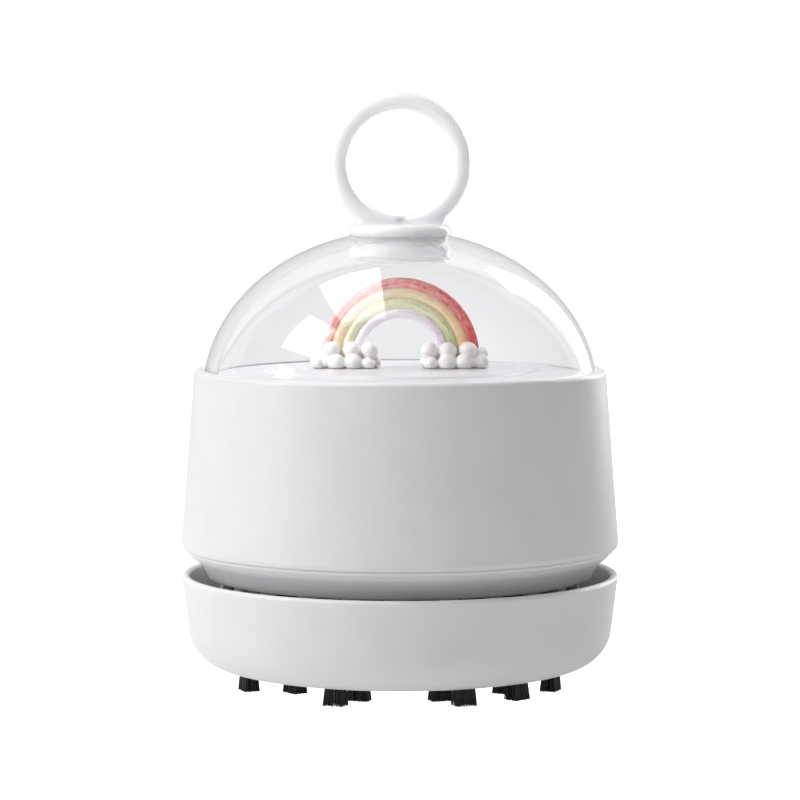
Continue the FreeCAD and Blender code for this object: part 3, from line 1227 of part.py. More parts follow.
def write_pieces():
    """One STEP file per node."""
    os.makedirs("parts", exist_ok=True)
    for name, piece in all_pieces().items():
        shape = Part.makeCompound(piece) if isinstance(piece, list) else piece
        if not shape.isValid() or not shape.Solids:
            print("not a valid solid:", name)
        shape.exportStep("parts/" + name + ".step")
        print(name, len(shape.Solids), round(shape.Volume, 1))


write_pieces()
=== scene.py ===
"""Looks of a desktop mini vacuum cleaner: its finishes, bristles and clay ornament, with light and camera."""

import logging
import math
import random
from dataclasses import dataclass
from enum import Enum
from typing import Any, Callable, Sequence

import bmesh
import bpy
from mathutils import Euler, Matrix, Vector


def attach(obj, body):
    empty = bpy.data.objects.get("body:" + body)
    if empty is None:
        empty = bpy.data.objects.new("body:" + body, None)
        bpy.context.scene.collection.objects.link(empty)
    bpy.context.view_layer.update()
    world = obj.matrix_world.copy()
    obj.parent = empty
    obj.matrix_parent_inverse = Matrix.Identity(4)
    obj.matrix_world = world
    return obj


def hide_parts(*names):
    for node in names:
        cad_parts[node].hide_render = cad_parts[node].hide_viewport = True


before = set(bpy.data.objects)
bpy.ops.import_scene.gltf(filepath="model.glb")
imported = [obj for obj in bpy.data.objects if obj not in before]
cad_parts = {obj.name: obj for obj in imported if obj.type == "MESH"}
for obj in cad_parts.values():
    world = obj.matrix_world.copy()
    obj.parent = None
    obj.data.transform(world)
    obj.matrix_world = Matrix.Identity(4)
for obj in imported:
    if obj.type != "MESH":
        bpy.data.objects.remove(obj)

MM = 0.001
UP = (0.0, 0.0, 1.0)
ORIGIN = (0.0, 0.0, 0.0)
SRGB_FOOT, SRGB_SLOPE, SRGB_LIFT, SRGB_POWER = 0.04045, 12.92, 0.055, 2.4
SAME_POINT_MM = 0.0005
WAVE_BAND = math.tau / 20  # a wave texture of scale 1 repeats after this much of its coordinate
ARCH_Z_MM = 64.3  # the rainbow's rolls turn about this height
LOG = logging.getLogger("cleaner")

Colour = tuple[float, float, float, float]
Point = tuple[float, float, float]
Ball = tuple[float, float, float, float]
Span = tuple[float, float]
Profile = tuple[Span, ...]


# ---- colours and node trees --------------------------------------------------------------------
def srgb(code: str) -> Colour:
    """Turn an sRGB hex colour into linear light.

    Args:
        code: Six hex digits after a hash sign.

    Returns:
        Linear red, green and blue, and an alpha of one.
    """
    linear = []
    for start in (1, 3, 5):
        part = int(code[start:start + 2], 16) / 255
        if part <= SRGB_FOOT:
            linear.append(part / SRGB_SLOPE)
        else:
            linear.append(((part + SRGB_LIFT) / (1 + SRGB_LIFT)) ** SRGB_POWER)
    return linear[0], linear[1], linear[2], 1.0


def add_node(
    tree: bpy.types.NodeTree,
    kind: str,
    settings: dict[str, Any] | None = None,
    inputs: dict[str | int, Any] | None = None,
) -> bpy.types.Node:
    """Add a node to a tree, with its settings, constants and links.

    Args:
        tree: Node tree that takes the node.
        kind: Node type without its prefix, such as TexNoise.
        settings: Values of the node's own properties, and "stops" for a colour ramp's stops.
        inputs: Socket name or number, with a constant or a (node, output) link for it.

    Returns:
        The new node.
    """
    node = tree.nodes.new("ShaderNode" + kind)
    for name, value in (settings or {}).items():
        if name == "stops":
            elements = node.color_ramp.elements
            while len(elements) < len(value):
                elements.new(1.0)
            for element, (position, colour) in zip(elements, value):
                element.position, element.color = position, colour
        else:
            setattr(node, name, value)
    for key, value in (inputs or {}).items():
        if isinstance(value, tuple) and isinstance(value[0], bpy.types.Node):
            tree.links.new(value[0].outputs[value[1]], node.inputs[key])
        else:
            node.inputs[key].default_value = value
    return node


def empty_material(name: str) -> tuple[bpy.types.Material, bpy.types.NodeTree, bpy.types.Node]:
    """Make a material with nothing in its tree but the object's own coordinates.

    Args:
        name: Name of the real material.

    Returns:
        The material, its node tree and its coordinate node.
    """
    material = bpy.data.materials.new(name)
    material.use_nodes = True
    tree = material.node_tree
    tree.nodes.clear()
    return material, tree, add_node(tree, "TexCoord")


def finish_tree(tree: bpy.types.NodeTree, shader: bpy.types.Node) -> None:
    """Link the first output of a shader node to the material's surface."""
    add_node(tree, "OutputMaterial", inputs={"Surface": (shader, 0)})


def metre_scale(size_mm: float) -> float:
    """Return the texture scale that gives a pattern of this size on coordinates in metres."""
    return 1.0 / (size_mm * MM)


class Finish:
    """Finish that paints objects with one material, made when it is first used."""

    name: str

    def make(self) -> bpy.types.Material:
        """Build the node tree of this finish, in each kind of finish."""
        raise NotImplementedError

    def material(self) -> bpy.types.Material:
        """Return this finish's material, made once."""
        return bpy.data.materials.get(self.name) or self.make()

    @staticmethod
    def ramp(places: Sequence[float], *codes: str) -> list[tuple[float, Colour]]:
        """Return a colour ramp's stops, each a place with its hex colour turned to light."""
        return [(place, srgb(code)) for place, code in zip(places, codes)]

    def paint(self, *pieces: bpy.types.Object) -> None:
        """Give pieces this finish in every material slot.

        Args:
            pieces: Objects to paint.
        """
        for piece in pieces:
            if not piece.data.materials:
                piece.data.materials.append(self.material())
            for index in range(len(piece.material_slots)):
                piece.material_slots[index].material = self.material()


@dataclass(frozen=True)
class MouldedPlastic(Finish):
    """Injection-moulded plastic: an even colour with the mould's fine grain and a slow change of gloss.

    The steel mould is spark-eroded, so the skin has a grain of about a tenth of a millimetre. It shows
    as a soft sheen, and it is drawn three times as coarse so that it can be seen at all.
    """

    name: str
    colour: str
    shade: str
    roughness: float
    roughness_swing: float = 0.05
    grain_mm: float = 0.35
    grain_height_mm: float = 0.004
    wave_mm: float = 9.0
    ior: float = 1.53
    depth_weight: float = 0.0
    depth_mm: float = 0.0
    soak: Point = (1.0, 0.92, 0.88)
    # Emission in the plastic's own colour: a painted glow, though the plastic is no lamp.
    painted_glow: float = 0.0
    tint_span: Span = (0.35, 0.65)
    gloss_span: Span = (0.3, 0.7)

    def make(self) -> bpy.types.Material:
        """Build the node tree of this finish.

        Returns:
            The new material.
        """
        material, tree, place = empty_material(self.name)
        drift = add_node(tree, "TexNoise", inputs={
            "Vector": (place, "Object"), "Scale": metre_scale(self.wave_mm),
            "Detail": 3.0, "Roughness": 0.55})
        tint = add_node(tree, "ValToRGB", {"stops": self.ramp(self.tint_span, self.shade, self.colour)},
                        {"Fac": (drift, "Fac")})
        gloss = add_node(tree, "MapRange", inputs={
            "Value": (drift, "Fac"), "From Min": self.gloss_span[0], "From Max": self.gloss_span[1],
            "To Min": self.roughness + self.roughness_swing, "To Max": self.roughness - self.roughness_swing})
        grain = add_node(tree, "TexNoise", inputs={
            "Vector": (place, "Object"), "Scale": metre_scale(self.grain_mm), "Detail": 2.0})
        skin = add_node(tree, "Bump", inputs={
            "Distance": self.grain_height_mm * MM, "Height": (grain, "Fac")})
        # The emission is painted light, a glow that lifts the shaded side.
        finish_tree(tree, add_node(tree, "BsdfPrincipled", inputs={
            "Base Color": (tint, "Color"), "Roughness": (gloss, "Result"), "Normal": (skin, "Normal"),
            "IOR": self.ior, "Subsurface Weight": self.depth_weight, "Subsurface Scale": self.depth_mm * MM,
            "Subsurface Radius": self.soak,
            "Emission Color": srgb(self.colour), "Emission Strength": self.painted_glow}))
        return material


@dataclass(frozen=True)
class ClearPlastic(Finish):
    """Clear plastic, bright through and through. Light that only passes it on its way to a surface is
    let straight through, with the share that two polished faces keep back taken off.
    """

    name: str
    colour: str
    shadow: str
    ior: float
    roughness: float
    wave_mm: float
    wave_height_mm: float

    def make(self) -> bpy.types.Material:
        """Build the node tree of this finish.

        Returns:
            The new material.
        """
        material, tree, place = empty_material(self.name)
        wave = add_node(tree, "TexNoise", inputs={
            "Vector": (place, "Object"), "Scale": metre_scale(self.wave_mm), "Detail": 1.0})
        skin = add_node(tree, "Bump", inputs={
            "Distance": self.wave_height_mm * MM, "Height": (wave, "Fac")})
        solid = add_node(tree, "BsdfPrincipled", inputs={
            "Base Color": srgb(self.colour), "Roughness": self.roughness, "IOR": self.ior,
            "Transmission Weight": 1.0, "Normal": (skin, "Normal")})
        clear = add_node(tree, "BsdfTransparent", inputs={"Color": srgb(self.shadow)})
        path = add_node(tree, "LightPath")
        finish_tree(tree, add_node(tree, "MixShader", inputs={
            0: (path, "Is Shadow Ray"), 1: (solid, "BSDF"), 2: (clear, "BSDF")}))
        return material


@dataclass(frozen=True)
class PolymerClay(Finish):
    """Polymer clay, rolled by hand and baked: matt and soft, with light soaking in a little."""

    name: str
    colour: str
    deep: str
    pale: str
    roughness: float = 0.5
    ior: float = 1.5
    blotch_mm: float = 2.4
    tooth_mm: float = 0.5
    tooth_height_mm: float = 0.01
    depth_weight: float = 0.5
    depth_mm: float = 0.8
    soak: Point = (1.0, 0.8, 0.75)
    tint_span: Point = (0.3, 0.5, 0.72)
    # Emission in the clay's colour: a painted glow that lifts its shade.
    painted_glow: float = 0.05

    def make(self) -> bpy.types.Material:
        """Build the node tree of this finish.

        Returns:
            The new material.
        """
        material, tree, place = empty_material(self.name)
        blotch = add_node(tree, "TexNoise", inputs={
            "Vector": (place, "Object"), "Scale": metre_scale(self.blotch_mm),
            "Detail": 3.0, "Roughness": 0.6})
        tint = add_node(tree, "ValToRGB", {
            "stops": self.ramp(self.tint_span, self.deep, self.colour, self.pale)}, {"Fac": (blotch, "Fac")})
        tooth = add_node(tree, "TexNoise", inputs={
            "Vector": (place, "Object"), "Scale": metre_scale(self.tooth_mm), "Detail": 3.0})
        skin = add_node(tree, "Bump", inputs={
            "Distance": self.tooth_height_mm * MM, "Height": (tooth, "Fac")})
        # The emission is painted light, a glow though the clay is no lamp.
        finish_tree(tree, add_node(tree, "BsdfPrincipled", inputs={
            "Base Color": (tint, "Color"), "Roughness": self.roughness, "IOR": self.ior,
            "Normal": (skin, "Normal"), "Subsurface Weight": self.depth_weight,
            "Subsurface Scale": self.depth_mm * MM, "Subsurface Radius": self.soak,
            "Emission Color": srgb(self.colour), "Emission Strength": self.painted_glow}))
        return material


@dataclass(frozen=True)
class BrushedClay(Finish):
    """Clay roll painted with a nearly dry brush along its length.

    The brush leaves fine streaks of paler and deeper paint that follow the arch. The colour is also deeper
    down the feet and the lower +x side of the arch, and a little paler over the crown and the -x side. The
    brush's hairs are 0.1 mm, drawn three times as coarse.
    """

    name: str
    colour: str
    deep: str
    pale: str
    arch_z_mm: float = ARCH_Z_MM
    arch_r_mm: float = 12.0
    streak_mm: float = 0.3
    streak_length_mm: float = 7.0
    streak_height_mm: float = 0.07
    blotch_mm: float = 1.1
    blotch_span: Span = (0.25, 0.75)
    blotch_share: float = 0.2
    foot_share: float = 0.25
    foot_turn: float = 1.5
    crown_share: float = 0.1
    roughness: float = 0.6
    ior: float = 1.5
    depth_weight: float = 0.3
    depth_mm: float = 0.5
    soak: Point = (1.0, 0.7, 0.6)
    tint_span: Point = (0.2, 0.47, 0.8)
    # Emission in the paint's colour: a painted glow that lifts the bands' shade.
    painted_glow: float = 0.07

    def make(self) -> bpy.types.Material:
        """Build the node tree of this finish.

        Returns:
            The new material.
        """
        material, tree, place = empty_material(self.name)
        moved = add_node(tree, "Mapping", inputs={
            "Vector": (place, "Object"), "Location": (0.0, 0.0, -self.arch_z_mm * MM)})
        parts = add_node(tree, "SeparateXYZ", inputs={0: (moved, 0)})
        turn = add_node(tree, "Math", {"operation": "ARCTAN2"}, {0: (parts, "Z"), 1: (parts, "X")})
        flat = add_node(tree, "CombineXYZ", inputs={"X": (parts, "X"), "Z": (parts, "Z")})
        reach = add_node(tree, "VectorMath", {"operation": "LENGTH"}, {0: (flat, 0)})
        rolled = add_node(tree, "CombineXYZ", inputs={
            "X": (turn, 0), "Y": (reach, "Value"), "Z": (parts, "Y")})
        across = metre_scale(self.streak_mm)
        combed = add_node(tree, "Mapping", {"vector_type": "POINT"}, {
            "Vector": (rolled, 0), "Scale": (self.arch_r_mm / self.streak_length_mm, across, across)})
        streak = add_node(tree, "TexNoise", inputs={
            "Vector": (combed, 0), "Scale": 1.0, "Detail": 3.0, "Roughness": 0.6})
        blotch = add_node(tree, "TexNoise", inputs={
            "Vector": (place, "Object"), "Scale": metre_scale(self.blotch_mm),
            "Detail": 4.0, "Roughness": 0.7})
        paint = add_node(tree, "MapRange", inputs={
            "Value": (blotch, "Fac"), "From Min": self.blotch_span[0], "From Max": self.blotch_span[1],
            "To Min": -self.blotch_share, "To Max": self.blotch_share})
        # Deeper down the feet and the lower +x side of the arch, paler over the crown and the -x side.
        foot = add_node(tree, "MapRange", inputs={
            "Value": (turn, 0), "From Min": 0.0, "From Max": self.foot_turn,
            "To Min": -self.foot_share, "To Max": self.crown_share})
        both = add_node(tree, "Math", {"operation": "ADD"}, {0: (streak, "Fac"), 1: (paint, "Result")})
        total = add_node(tree, "Math", {"operation": "ADD"}, {0: (both, 0), 1: (foot, "Result")})
        tint = add_node(tree, "ValToRGB", {
            "stops": self.ramp(self.tint_span, self.deep, self.colour, self.pale)}, {"Fac": (total, 0)})
        skin = add_node(tree, "Bump", inputs={
            "Distance": self.streak_height_mm * MM, "Height": (streak, "Fac")})
        # The emission follows the tint: painted light, a glow though the clay is no lamp.
        finish_tree(tree, add_node(tree, "BsdfPrincipled", inputs={
            "Base Color": (tint, "Color"), "Roughness": self.roughness, "IOR": self.ior,
            "Normal": (skin, "Normal"), "Subsurface Weight": self.depth_weight,
            "Subsurface Scale": self.depth_mm * MM, "Subsurface Radius": self.soak,
            "Emission Color": (tint, "Color"), "Emission Strength": self.painted_glow}))
        return material


@dataclass(frozen=True)
class Metal(Finish):
    """Bare metal with fine lines of drawing, brushing or turning along one axis."""

    name: str
    colour: str
    shade: str
    roughness: float
    stretch: Point
    line_mm: float = 0.25
    line_height_mm: float = 0.004
    polished_by: float = 0.08
    dulled_by: float = 0.12
    tint_span: Span = (0.3, 0.6)

    def make(self) -> bpy.types.Material:
        """Build the node tree of this finish.

        Returns:
            The new material.
        """
        material, tree, place = empty_material(self.name)
        along = add_node(tree, "Mapping", {"vector_type": "POINT"}, {
            "Vector": (place, "Object"), "Scale": self.stretch})
        lines = add_node(tree, "TexNoise", inputs={
            "Vector": (along, "Vector"), "Scale": metre_scale(self.line_mm), "Detail": 3.0})
        tint = add_node(tree, "ValToRGB", {"stops": self.ramp(self.tint_span, self.shade, self.colour)},
                        {"Fac": (lines, "Fac")})
        gloss = add_node(tree, "MapRange", inputs={
            "Value": (lines, "Fac"), "To Min": self.roughness - self.polished_by,
            "To Max": self.roughness + self.dulled_by})
        skin = add_node(tree, "Bump", inputs={
            "Distance": self.line_height_mm * MM, "Height": (lines, "Fac")})
        finish_tree(tree, add_node(tree, "BsdfPrincipled", inputs={
            "Base Color": (tint, "Color"), "Metallic": 1.0, "Roughness": (gloss, "Result"),
            "Normal": (skin, "Normal")}))
        return material


@dataclass(frozen=True)
class WireCloth(Finish):
    """Plain-woven steel wire cloth. Wires pass over and under each other; the holes between are painted dark
    as painted shade.

    A dust filter's cloth has a wire every 0.3 mm; it is drawn at twice that.
    """

    name: str
    pitch_mm: float
    wire: str
    # Colour of the holes: painted shade for the dark seen through the cloth.
    shaded_hole: str
    roughness: float = 0.35
    wire_height_mm: float = 0.12
    tint_span: Span = (0.55, 0.75)

    def make(self) -> bpy.types.Material:
        """Build the node tree of this finish.

        Returns:
            The new material.
        """
        material, tree, place = empty_material(self.name)
        warp, weft = (add_node(tree, "TexWave", {"bands_direction": way}, {
            "Vector": (place, "Object"), "Scale": WAVE_BAND * metre_scale(self.pitch_mm)}) for way in "XY")
        over = add_node(tree, "Math", {"operation": "MAXIMUM"}, {0: (warp, "Fac"), 1: (weft, "Fac")})
        tint = add_node(tree, "ValToRGB", {"stops": self.ramp(self.tint_span, self.shaded_hole, self.wire)},
                        {"Fac": (over, 0)})
        skin = add_node(tree, "Bump", inputs={"Distance": self.wire_height_mm * MM, "Height": (over, 0)})
        finish_tree(tree, add_node(tree, "BsdfPrincipled", inputs={
            "Base Color": (tint, "Color"), "Metallic": 1.0, "Roughness": self.roughness,
            "Normal": (skin, "Normal")}))
        return material


@dataclass(frozen=True)
class OpenFoam(Finish):
    """Open-cell polyurethane foam: dull, with a mesh of round pores whose insides are painted dark as painted
    shade.
    """

    name: str
    pore_mm: float
    strand: str
    # Colour of the pores' insides: painted shade in the hollows.
    shaded_pore: str
    roughness: float = 0.95
    sheen: float = 0.2
    pore_depth_mm: float = 0.4
    tint_span: Span = (0.2, 0.55)

    def make(self) -> bpy.types.Material:
        """Build the node tree of this finish.

        Returns:
            The new material.
        """
        material, tree, place = empty_material(self.name)
        cells = add_node(tree, "TexVoronoi", {"feature": "SMOOTH_F1"}, {
            "Vector": (place, "Object"), "Scale": metre_scale(self.pore_mm), "Smoothness": 0.4})
        tint = add_node(tree, "ValToRGB", {"stops": self.ramp(self.tint_span, self.shaded_pore, self.strand)},
                        {"Fac": (cells, "Distance")})
        skin = add_node(tree, "Bump", inputs={
            "Distance": self.pore_depth_mm * MM, "Height": (cells, "Distance")})
        finish_tree(tree, add_node(tree, "BsdfPrincipled", inputs={
            "Base Color": (tint, "Color"), "Roughness": self.roughness, "Sheen Weight": self.sheen,
            "Normal": (skin, "Normal")}))
        return material


@dataclass(frozen=True)
class WoundWire(Finish):
    """Enamelled copper wire, wound in layers. Each turn shows as a glossy ridge, with painted shade darkening
    the groove between turns.

    The wire is 0.2 mm thick and is drawn twice as thick.
    """

    name: str
    wire_mm: float
    colour: str
    # Colour of the grooves between turns: painted shade.
    shaded_groove: str
    roughness: float = 0.35
    enamel_weight: float = 0.6
    enamel_roughness: float = 0.15
    groove_depth_mm: float = 0.1
    tint_span: Span = (0.1, 0.5)

    def make(self) -> bpy.types.Material:
        """Build the node tree of this finish.

        Returns:
            The new material.
        """
        material, tree, place = empty_material(self.name)
        turns = add_node(tree, "TexWave", {"bands_direction": "Z"}, {
            "Vector": (place, "Object"), "Scale": WAVE_BAND * metre_scale(self.wire_mm),
            "Distortion": 0.6, "Detail": 1.0, "Detail Scale": 0.4})
        tint = add_node(tree, "ValToRGB", {"stops": self.ramp(self.tint_span, self.shaded_groove, self.colour)},
                        {"Fac": (turns, "Fac")})
        skin = add_node(tree, "Bump", inputs={
            "Distance": self.groove_depth_mm * MM, "Height": (turns, "Fac")})
        finish_tree(tree, add_node(tree, "BsdfPrincipled", inputs={
            "Base Color": (tint, "Color"), "Metallic": 1.0, "Roughness": self.roughness,
            "Coat Weight": self.enamel_weight, "Coat Roughness": self.enamel_roughness,
            "Normal": (skin, "Normal")}))
        return material


@dataclass(frozen=True)
class CircuitLaminate(Finish):
    """Glass-epoxy board under green solder mask. Copper tracks show as paler, slightly raised paths."""

    name: str
    mask: str
    track: str
    track_mm: float
    land_mm: float
    roughness: float = 0.28
    ior: float = 1.55
    track_height_mm: float = 0.035
    flank_share: float = 0.6
    tint_span: Span = (0.2, 0.8)

    def make(self) -> bpy.types.Material:
        """Build the node tree of this finish.

        Returns:
            The new material.
        """
        material, tree, place = empty_material(self.name)
        cells = add_node(tree, "TexVoronoi", {"feature": "DISTANCE_TO_EDGE"}, {
            "Vector": (place, "Object"), "Scale": metre_scale(self.land_mm), "Randomness": 0.35})
        path = add_node(tree, "MapRange", inputs={
            "Value": (cells, "Distance"), "From Min": self.track_mm / self.land_mm,
            "From Max": self.flank_share * self.track_mm / self.land_mm})
        tint = add_node(tree, "ValToRGB", {"stops": self.ramp(self.tint_span, self.mask, self.track)},
                        {"Fac": (path, "Result")})
        skin = add_node(tree, "Bump", inputs={
            "Distance": self.track_height_mm * MM, "Height": (path, "Result")})
        finish_tree(tree, add_node(tree, "BsdfPrincipled", inputs={
            "Base Color": (tint, "Color"), "Roughness": self.roughness, "IOR": self.ior,
            "Normal": (skin, "Normal")}))
        return material


# ---- the finishes of this cleaner -----------------------------------------------------------
# ABS of the housing, moulded in a finely eroded tool: satin, bright white, highlights with soft edges.
HOUSING_WHITE = MouldedPlastic("satin_white_abs", "#E1E1E2", "#DEDEE0", roughness=0.36)
# The same ABS in the tray's and the skirt's thin walls: light soaks through, so the inside isn't dark.
THIN_WHITE = MouldedPlastic(
    "thin_white_abs", "#E2E2E3", "#DFDFE1", roughness=0.36, depth_weight=1.0, depth_mm=1.2)
# The same ABS in the deck's smoother tool, made a touch greyer as painted shade, because the lamp above
# lights the deck more than the housing's walls.
DECK_SHADED_WHITE = MouldedPlastic(
    "shaded_fine_white_abs", "#CDCDCF", "#CACACC", roughness=0.3, roughness_swing=0.01,
    grain_mm=0.5, grain_height_mm=0.001)
# ABS of the ring, moulded in a polished tool: milky, so light soaks through the ring and warms a little; its
# glow is painted light that lifts the ring's shaded side.
HANDLE_WHITE = MouldedPlastic(
    "milky_white_abs", "#EBECED", "#E8E7EA", roughness=0.22, roughness_swing=0.03,
    depth_weight=1.0, depth_mm=3.0, painted_glow=0.08)
# Cast and polished acrylic: colourless, with sharp reflections that the wall's slow waves bend a little.
DOME_CLEAR = ClearPlastic(
    "clear_acrylic", "#F8F8F9", "#FDFDFD", ior=1.49, roughness=0.0, wave_mm=9.0, wave_height_mm=0.002)
# Diffusing polycarbonate of the light guide: milky, because light scatters inside it, with a smooth face.
LIGHT_MILKY = MouldedPlastic(
    "diffusing_polycarbonate", "#E6EDF1", "#DBE4EA", roughness=0.22, roughness_swing=0.03, ior=1.58,
    depth_weight=0.8, depth_mm=0.8)
# Grey ABS of the hidden mouldings, with a coarser grain that dulls it.
INNER_GREY = MouldedPlastic(
    "grained_grey_abs", "#A9ABAF", "#A0A2A7", roughness=0.5, roughness_swing=0.06,
    grain_mm=0.5, grain_height_mm=0.01)
# Black glass-filled nylon of the fan, motor cap, cradle and switch lever: dull, mottled by the fibres.
DARK_NYLON = MouldedPlastic(
    "glass_filled_nylon", "#2A2827", "#1F1E1E", roughness=0.55, roughness_swing=0.08,
    grain_mm=0.6, grain_height_mm=0.02, wave_mm=2.5)
# Moulded silicone rubber of the seal: matt black with a grey bloom.
SEAL_RUBBER = MouldedPlastic(
    "silicone_rubber", "#2B2B2C", "#1E1E1F", roughness=0.75, roughness_swing=0.06,
    grain_mm=0.25, grain_height_mm=0.01, wave_mm=3.0, ior=1.41)
# Nylon monofilament of the brushes, drawn and cut: black, with a grey gleam along each thread.
BRISTLE_NYLON = MouldedPlastic(
    "nylon_monofilament", "#0E0D0D", "#040404", roughness=0.42, roughness_swing=0.1,
    grain_mm=0.5, grain_height_mm=0.004, wave_mm=0.8)
# Sintered ferrite of the magnets: charcoal grey and slightly gritty from the press.
FERRITE = MouldedPlastic(
    "sintered_ferrite", "#3A3A3D", "#2A2A2C", roughness=0.6, roughness_swing=0.1,
    grain_mm=0.3, grain_height_mm=0.02, wave_mm=1.5)
# Heat-shrunk film round the cell: glossy blue with shallow ripples where it shrank.
CELL_WRAP = MouldedPlastic(
    "heat_shrink_film", "#4C86BF", "#3F78B2", roughness=0.22, roughness_swing=0.05,
    grain_mm=1.8, grain_height_mm=0.03, wave_mm=6.0)
# Mild steel, drawn or pressed and zinc plated: cool grey with soft lines along the pull.
ZINC_STEEL = Metal("zinc_plated_steel", "#C4C6C9", "#9EA1A6", roughness=0.3, stretch=(1.0, 1.0, 0.12))
# Brass, turned on a lathe: warm yellow with fine rings.
TURNED_BRASS = Metal("turned_brass", "#D8B36A", "#B58F49", roughness=0.28, stretch=(0.15, 0.15, 1.0))


# ---- modelling ------------------------------------------------------------------------------
def clear_selection() -> None:
    """Deselect every object, so that an operator acts on one piece alone."""
    if bpy.context.mode != "OBJECT":
        bpy.ops.object.mode_set(mode="OBJECT")
    bpy.ops.object.select_all(action="DESELECT")


def pick(*pieces: bpy.types.Object) -> None:
    """Select pieces alone, with the first of them active.

    Args:
        pieces: Objects to select.
    """
    clear_selection()
    for piece in pieces:
        piece.select_set(True)
    bpy.context.view_layer.objects.active = pieces[0]


def open_mesh(piece: bpy.types.Object, action: str = "SELECT") -> None:
    """Open one piece in edit mode.

    Args:
        piece: Mesh object.
        action: What is selected in it, SELECT for all or DESELECT for nothing.
    """
    pick(piece)
    bpy.ops.object.mode_set(mode="EDIT")
    bpy.ops.mesh.select_mode(type="FACE")
    bpy.ops.mesh.select_all(action=action)


def close_mesh() -> None:
    """Leave edit mode."""
    bpy.ops.object.mode_set(mode="OBJECT")


def select_faces(piece: bpy.types.Object, wanted: Callable[[bmesh.types.BMFace], bool]) -> None:
    """Select the faces of an open mesh that a test picks by their place or normal.

    Args:
        piece: Object in edit mode.
        wanted: Test that says whether a face is selected.
    """
    mesh = bmesh.from_edit_mesh(piece.data)
    for face in mesh.faces:
        face.select_set(wanted(face))
    mesh.select_flush_mode()
    bmesh.update_edit_mesh(piece.data)


def extrude(move_mm: Point) -> None:
    """Extrude what is selected and move the new faces or edges by this many millimetres."""
    bpy.ops.mesh.extrude_region_move(
        TRANSFORM_OT_translate={"value": [part * MM for part in move_mm], "orient_type": "GLOBAL"})


def face_outwards() -> None:
    """Merge the open mesh's doubles and turn its normals outwards."""
    bpy.ops.mesh.select_all(action="SELECT")
    bpy.ops.mesh.remove_doubles(threshold=SAME_POINT_MM * MM)
    bpy.ops.mesh.normals_make_consistent(inside=False)


def apply_modifier(piece: bpy.types.Object, kind: str, **settings: Any) -> None:
    """Add a modifier to a piece and apply it.

    Args:
        piece: Mesh object.
        kind: Modifier type.
        settings: Values of its properties.
    """
    pick(piece)
    modifier = piece.modifiers.new(kind.lower(), kind)
    for name, value in settings.items():
        setattr(modifier, name, value)
    bpy.ops.object.modifier_apply(modifier=modifier.name)


def settle(piece: bpy.types.Object, name: str, angle_deg: float = 35.0) -> bpy.types.Object:
    """Put a finished piece's object at the origin, with its place in its mesh, and shade it.

    Args:
        piece: Piece that stands where it belongs.
        name: Name for the piece and its mesh.
        angle_deg: Edges that turn more than this stay sharp.

    Returns:
        The same piece.
    """
    pick(piece)
    bpy.ops.object.transform_apply(location=True, rotation=True, scale=True)
    bpy.ops.object.shade_smooth_by_angle(angle=math.radians(angle_deg))
    piece.name = piece.data.name = name
    return piece


def turn_wall(profile_mm: Profile, sides: int) -> bpy.types.Object:
    """Turn a closed wall about the upright axis: a ring is extruded and scaled from point to point.

    Args:
        profile_mm: Radius and height of each point, in order round the wall's section.
        sides: Number of sides of the ring.

    Returns:
        The turned wall.
    """
    clear_selection()
    bpy.ops.mesh.primitive_circle_add(
        vertices=sides, radius=profile_mm[0][0] * MM, location=(0.0, 0.0, profile_mm[0][1] * MM))
    wall = bpy.context.object
    pick(wall)
    bpy.ops.object.mode_set(mode="EDIT")
    bpy.ops.mesh.select_mode(type="EDGE")
    bpy.ops.mesh.select_all(action="SELECT")
    for (radius, height), (next_radius, next_height) in zip(profile_mm, profile_mm[1:]):
        extrude((0.0, 0.0, next_height - height))
        ratio = next_radius / radius
        bpy.ops.transform.resize(
            value=(ratio, ratio, 1.0), center_override=(0.0, 0.0, next_height * MM))
    bpy.ops.mesh.select_all(action="DESELECT")
    bpy.ops.mesh.select_non_manifold()
    bpy.ops.mesh.bridge_edge_loops()
    face_outwards()
    close_mesh()
    return wall


def join_pieces(pieces: Sequence[bpy.types.Object]) -> bpy.types.Object:
    """Join several meshes into the first of them.

    Args:
        pieces: Mesh objects.

    Returns:
        The joined object.
    """
    pick(*pieces)
    if len(pieces) > 1:
        bpy.ops.object.join()
    return pieces[0]


def copy_piece(piece: bpy.types.Object, place: Matrix) -> bpy.types.Object:
    """Copy a piece with a mesh of its own, moved to a new place.

    Args:
        piece: Piece to copy.
        place: Where the copy goes, from where the piece is.

    Returns:
        The copy.
    """
    twin = piece.copy()
    twin.data = piece.data.copy()
    bpy.context.scene.collection.objects.link(twin)
    twin.data.transform(place)
    return twin


def discard(*pieces: bpy.types.Object) -> None:
    """Remove patterns that were only copied from."""
    for piece in pieces:
        bpy.data.objects.remove(piece, do_unlink=True)


# ---- sub-assemblies -------------------------------------------------------------------------
class SubAssembly:
    """Sub-assembly of the cleaner. Its solids keep their shape and take a finish."""

    title: str

    def coats(self) -> dict[str, Finish]:
        """Return the finish of each solid that keeps its shape."""
        return {}

    def shape(self) -> None:
        """Build the meshes that this sub-assembly adds; most have none."""

    def stand_in(
        self,
        piece: bpy.types.Object,
        body: str,
        nodes: Sequence[str],
        slot: str,
        finish: Finish,
    ) -> None:
        """Finish a new piece that stands for solids, and report it.

        Args:
            piece: New piece, at its place.
            body: Body that it rides on.
            nodes: Solids that it stands for.
            slot: Material slot of the piece; not used.
            finish: Finish that it gets.
        """
        finish.paint(piece)
        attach(piece, body)
        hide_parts(*nodes)
        LOG.info("%s: %s for %s in %s", self.title, piece.name, ", ".join(nodes), finish.name)

    def build(self) -> None:
        """Dress the solids and build the new pieces."""
        for node, finish in self.coats().items():
            finish.paint(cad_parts[node])
            LOG.info("%s: %s in %s", self.title, node, finish.name)
        self.shape()


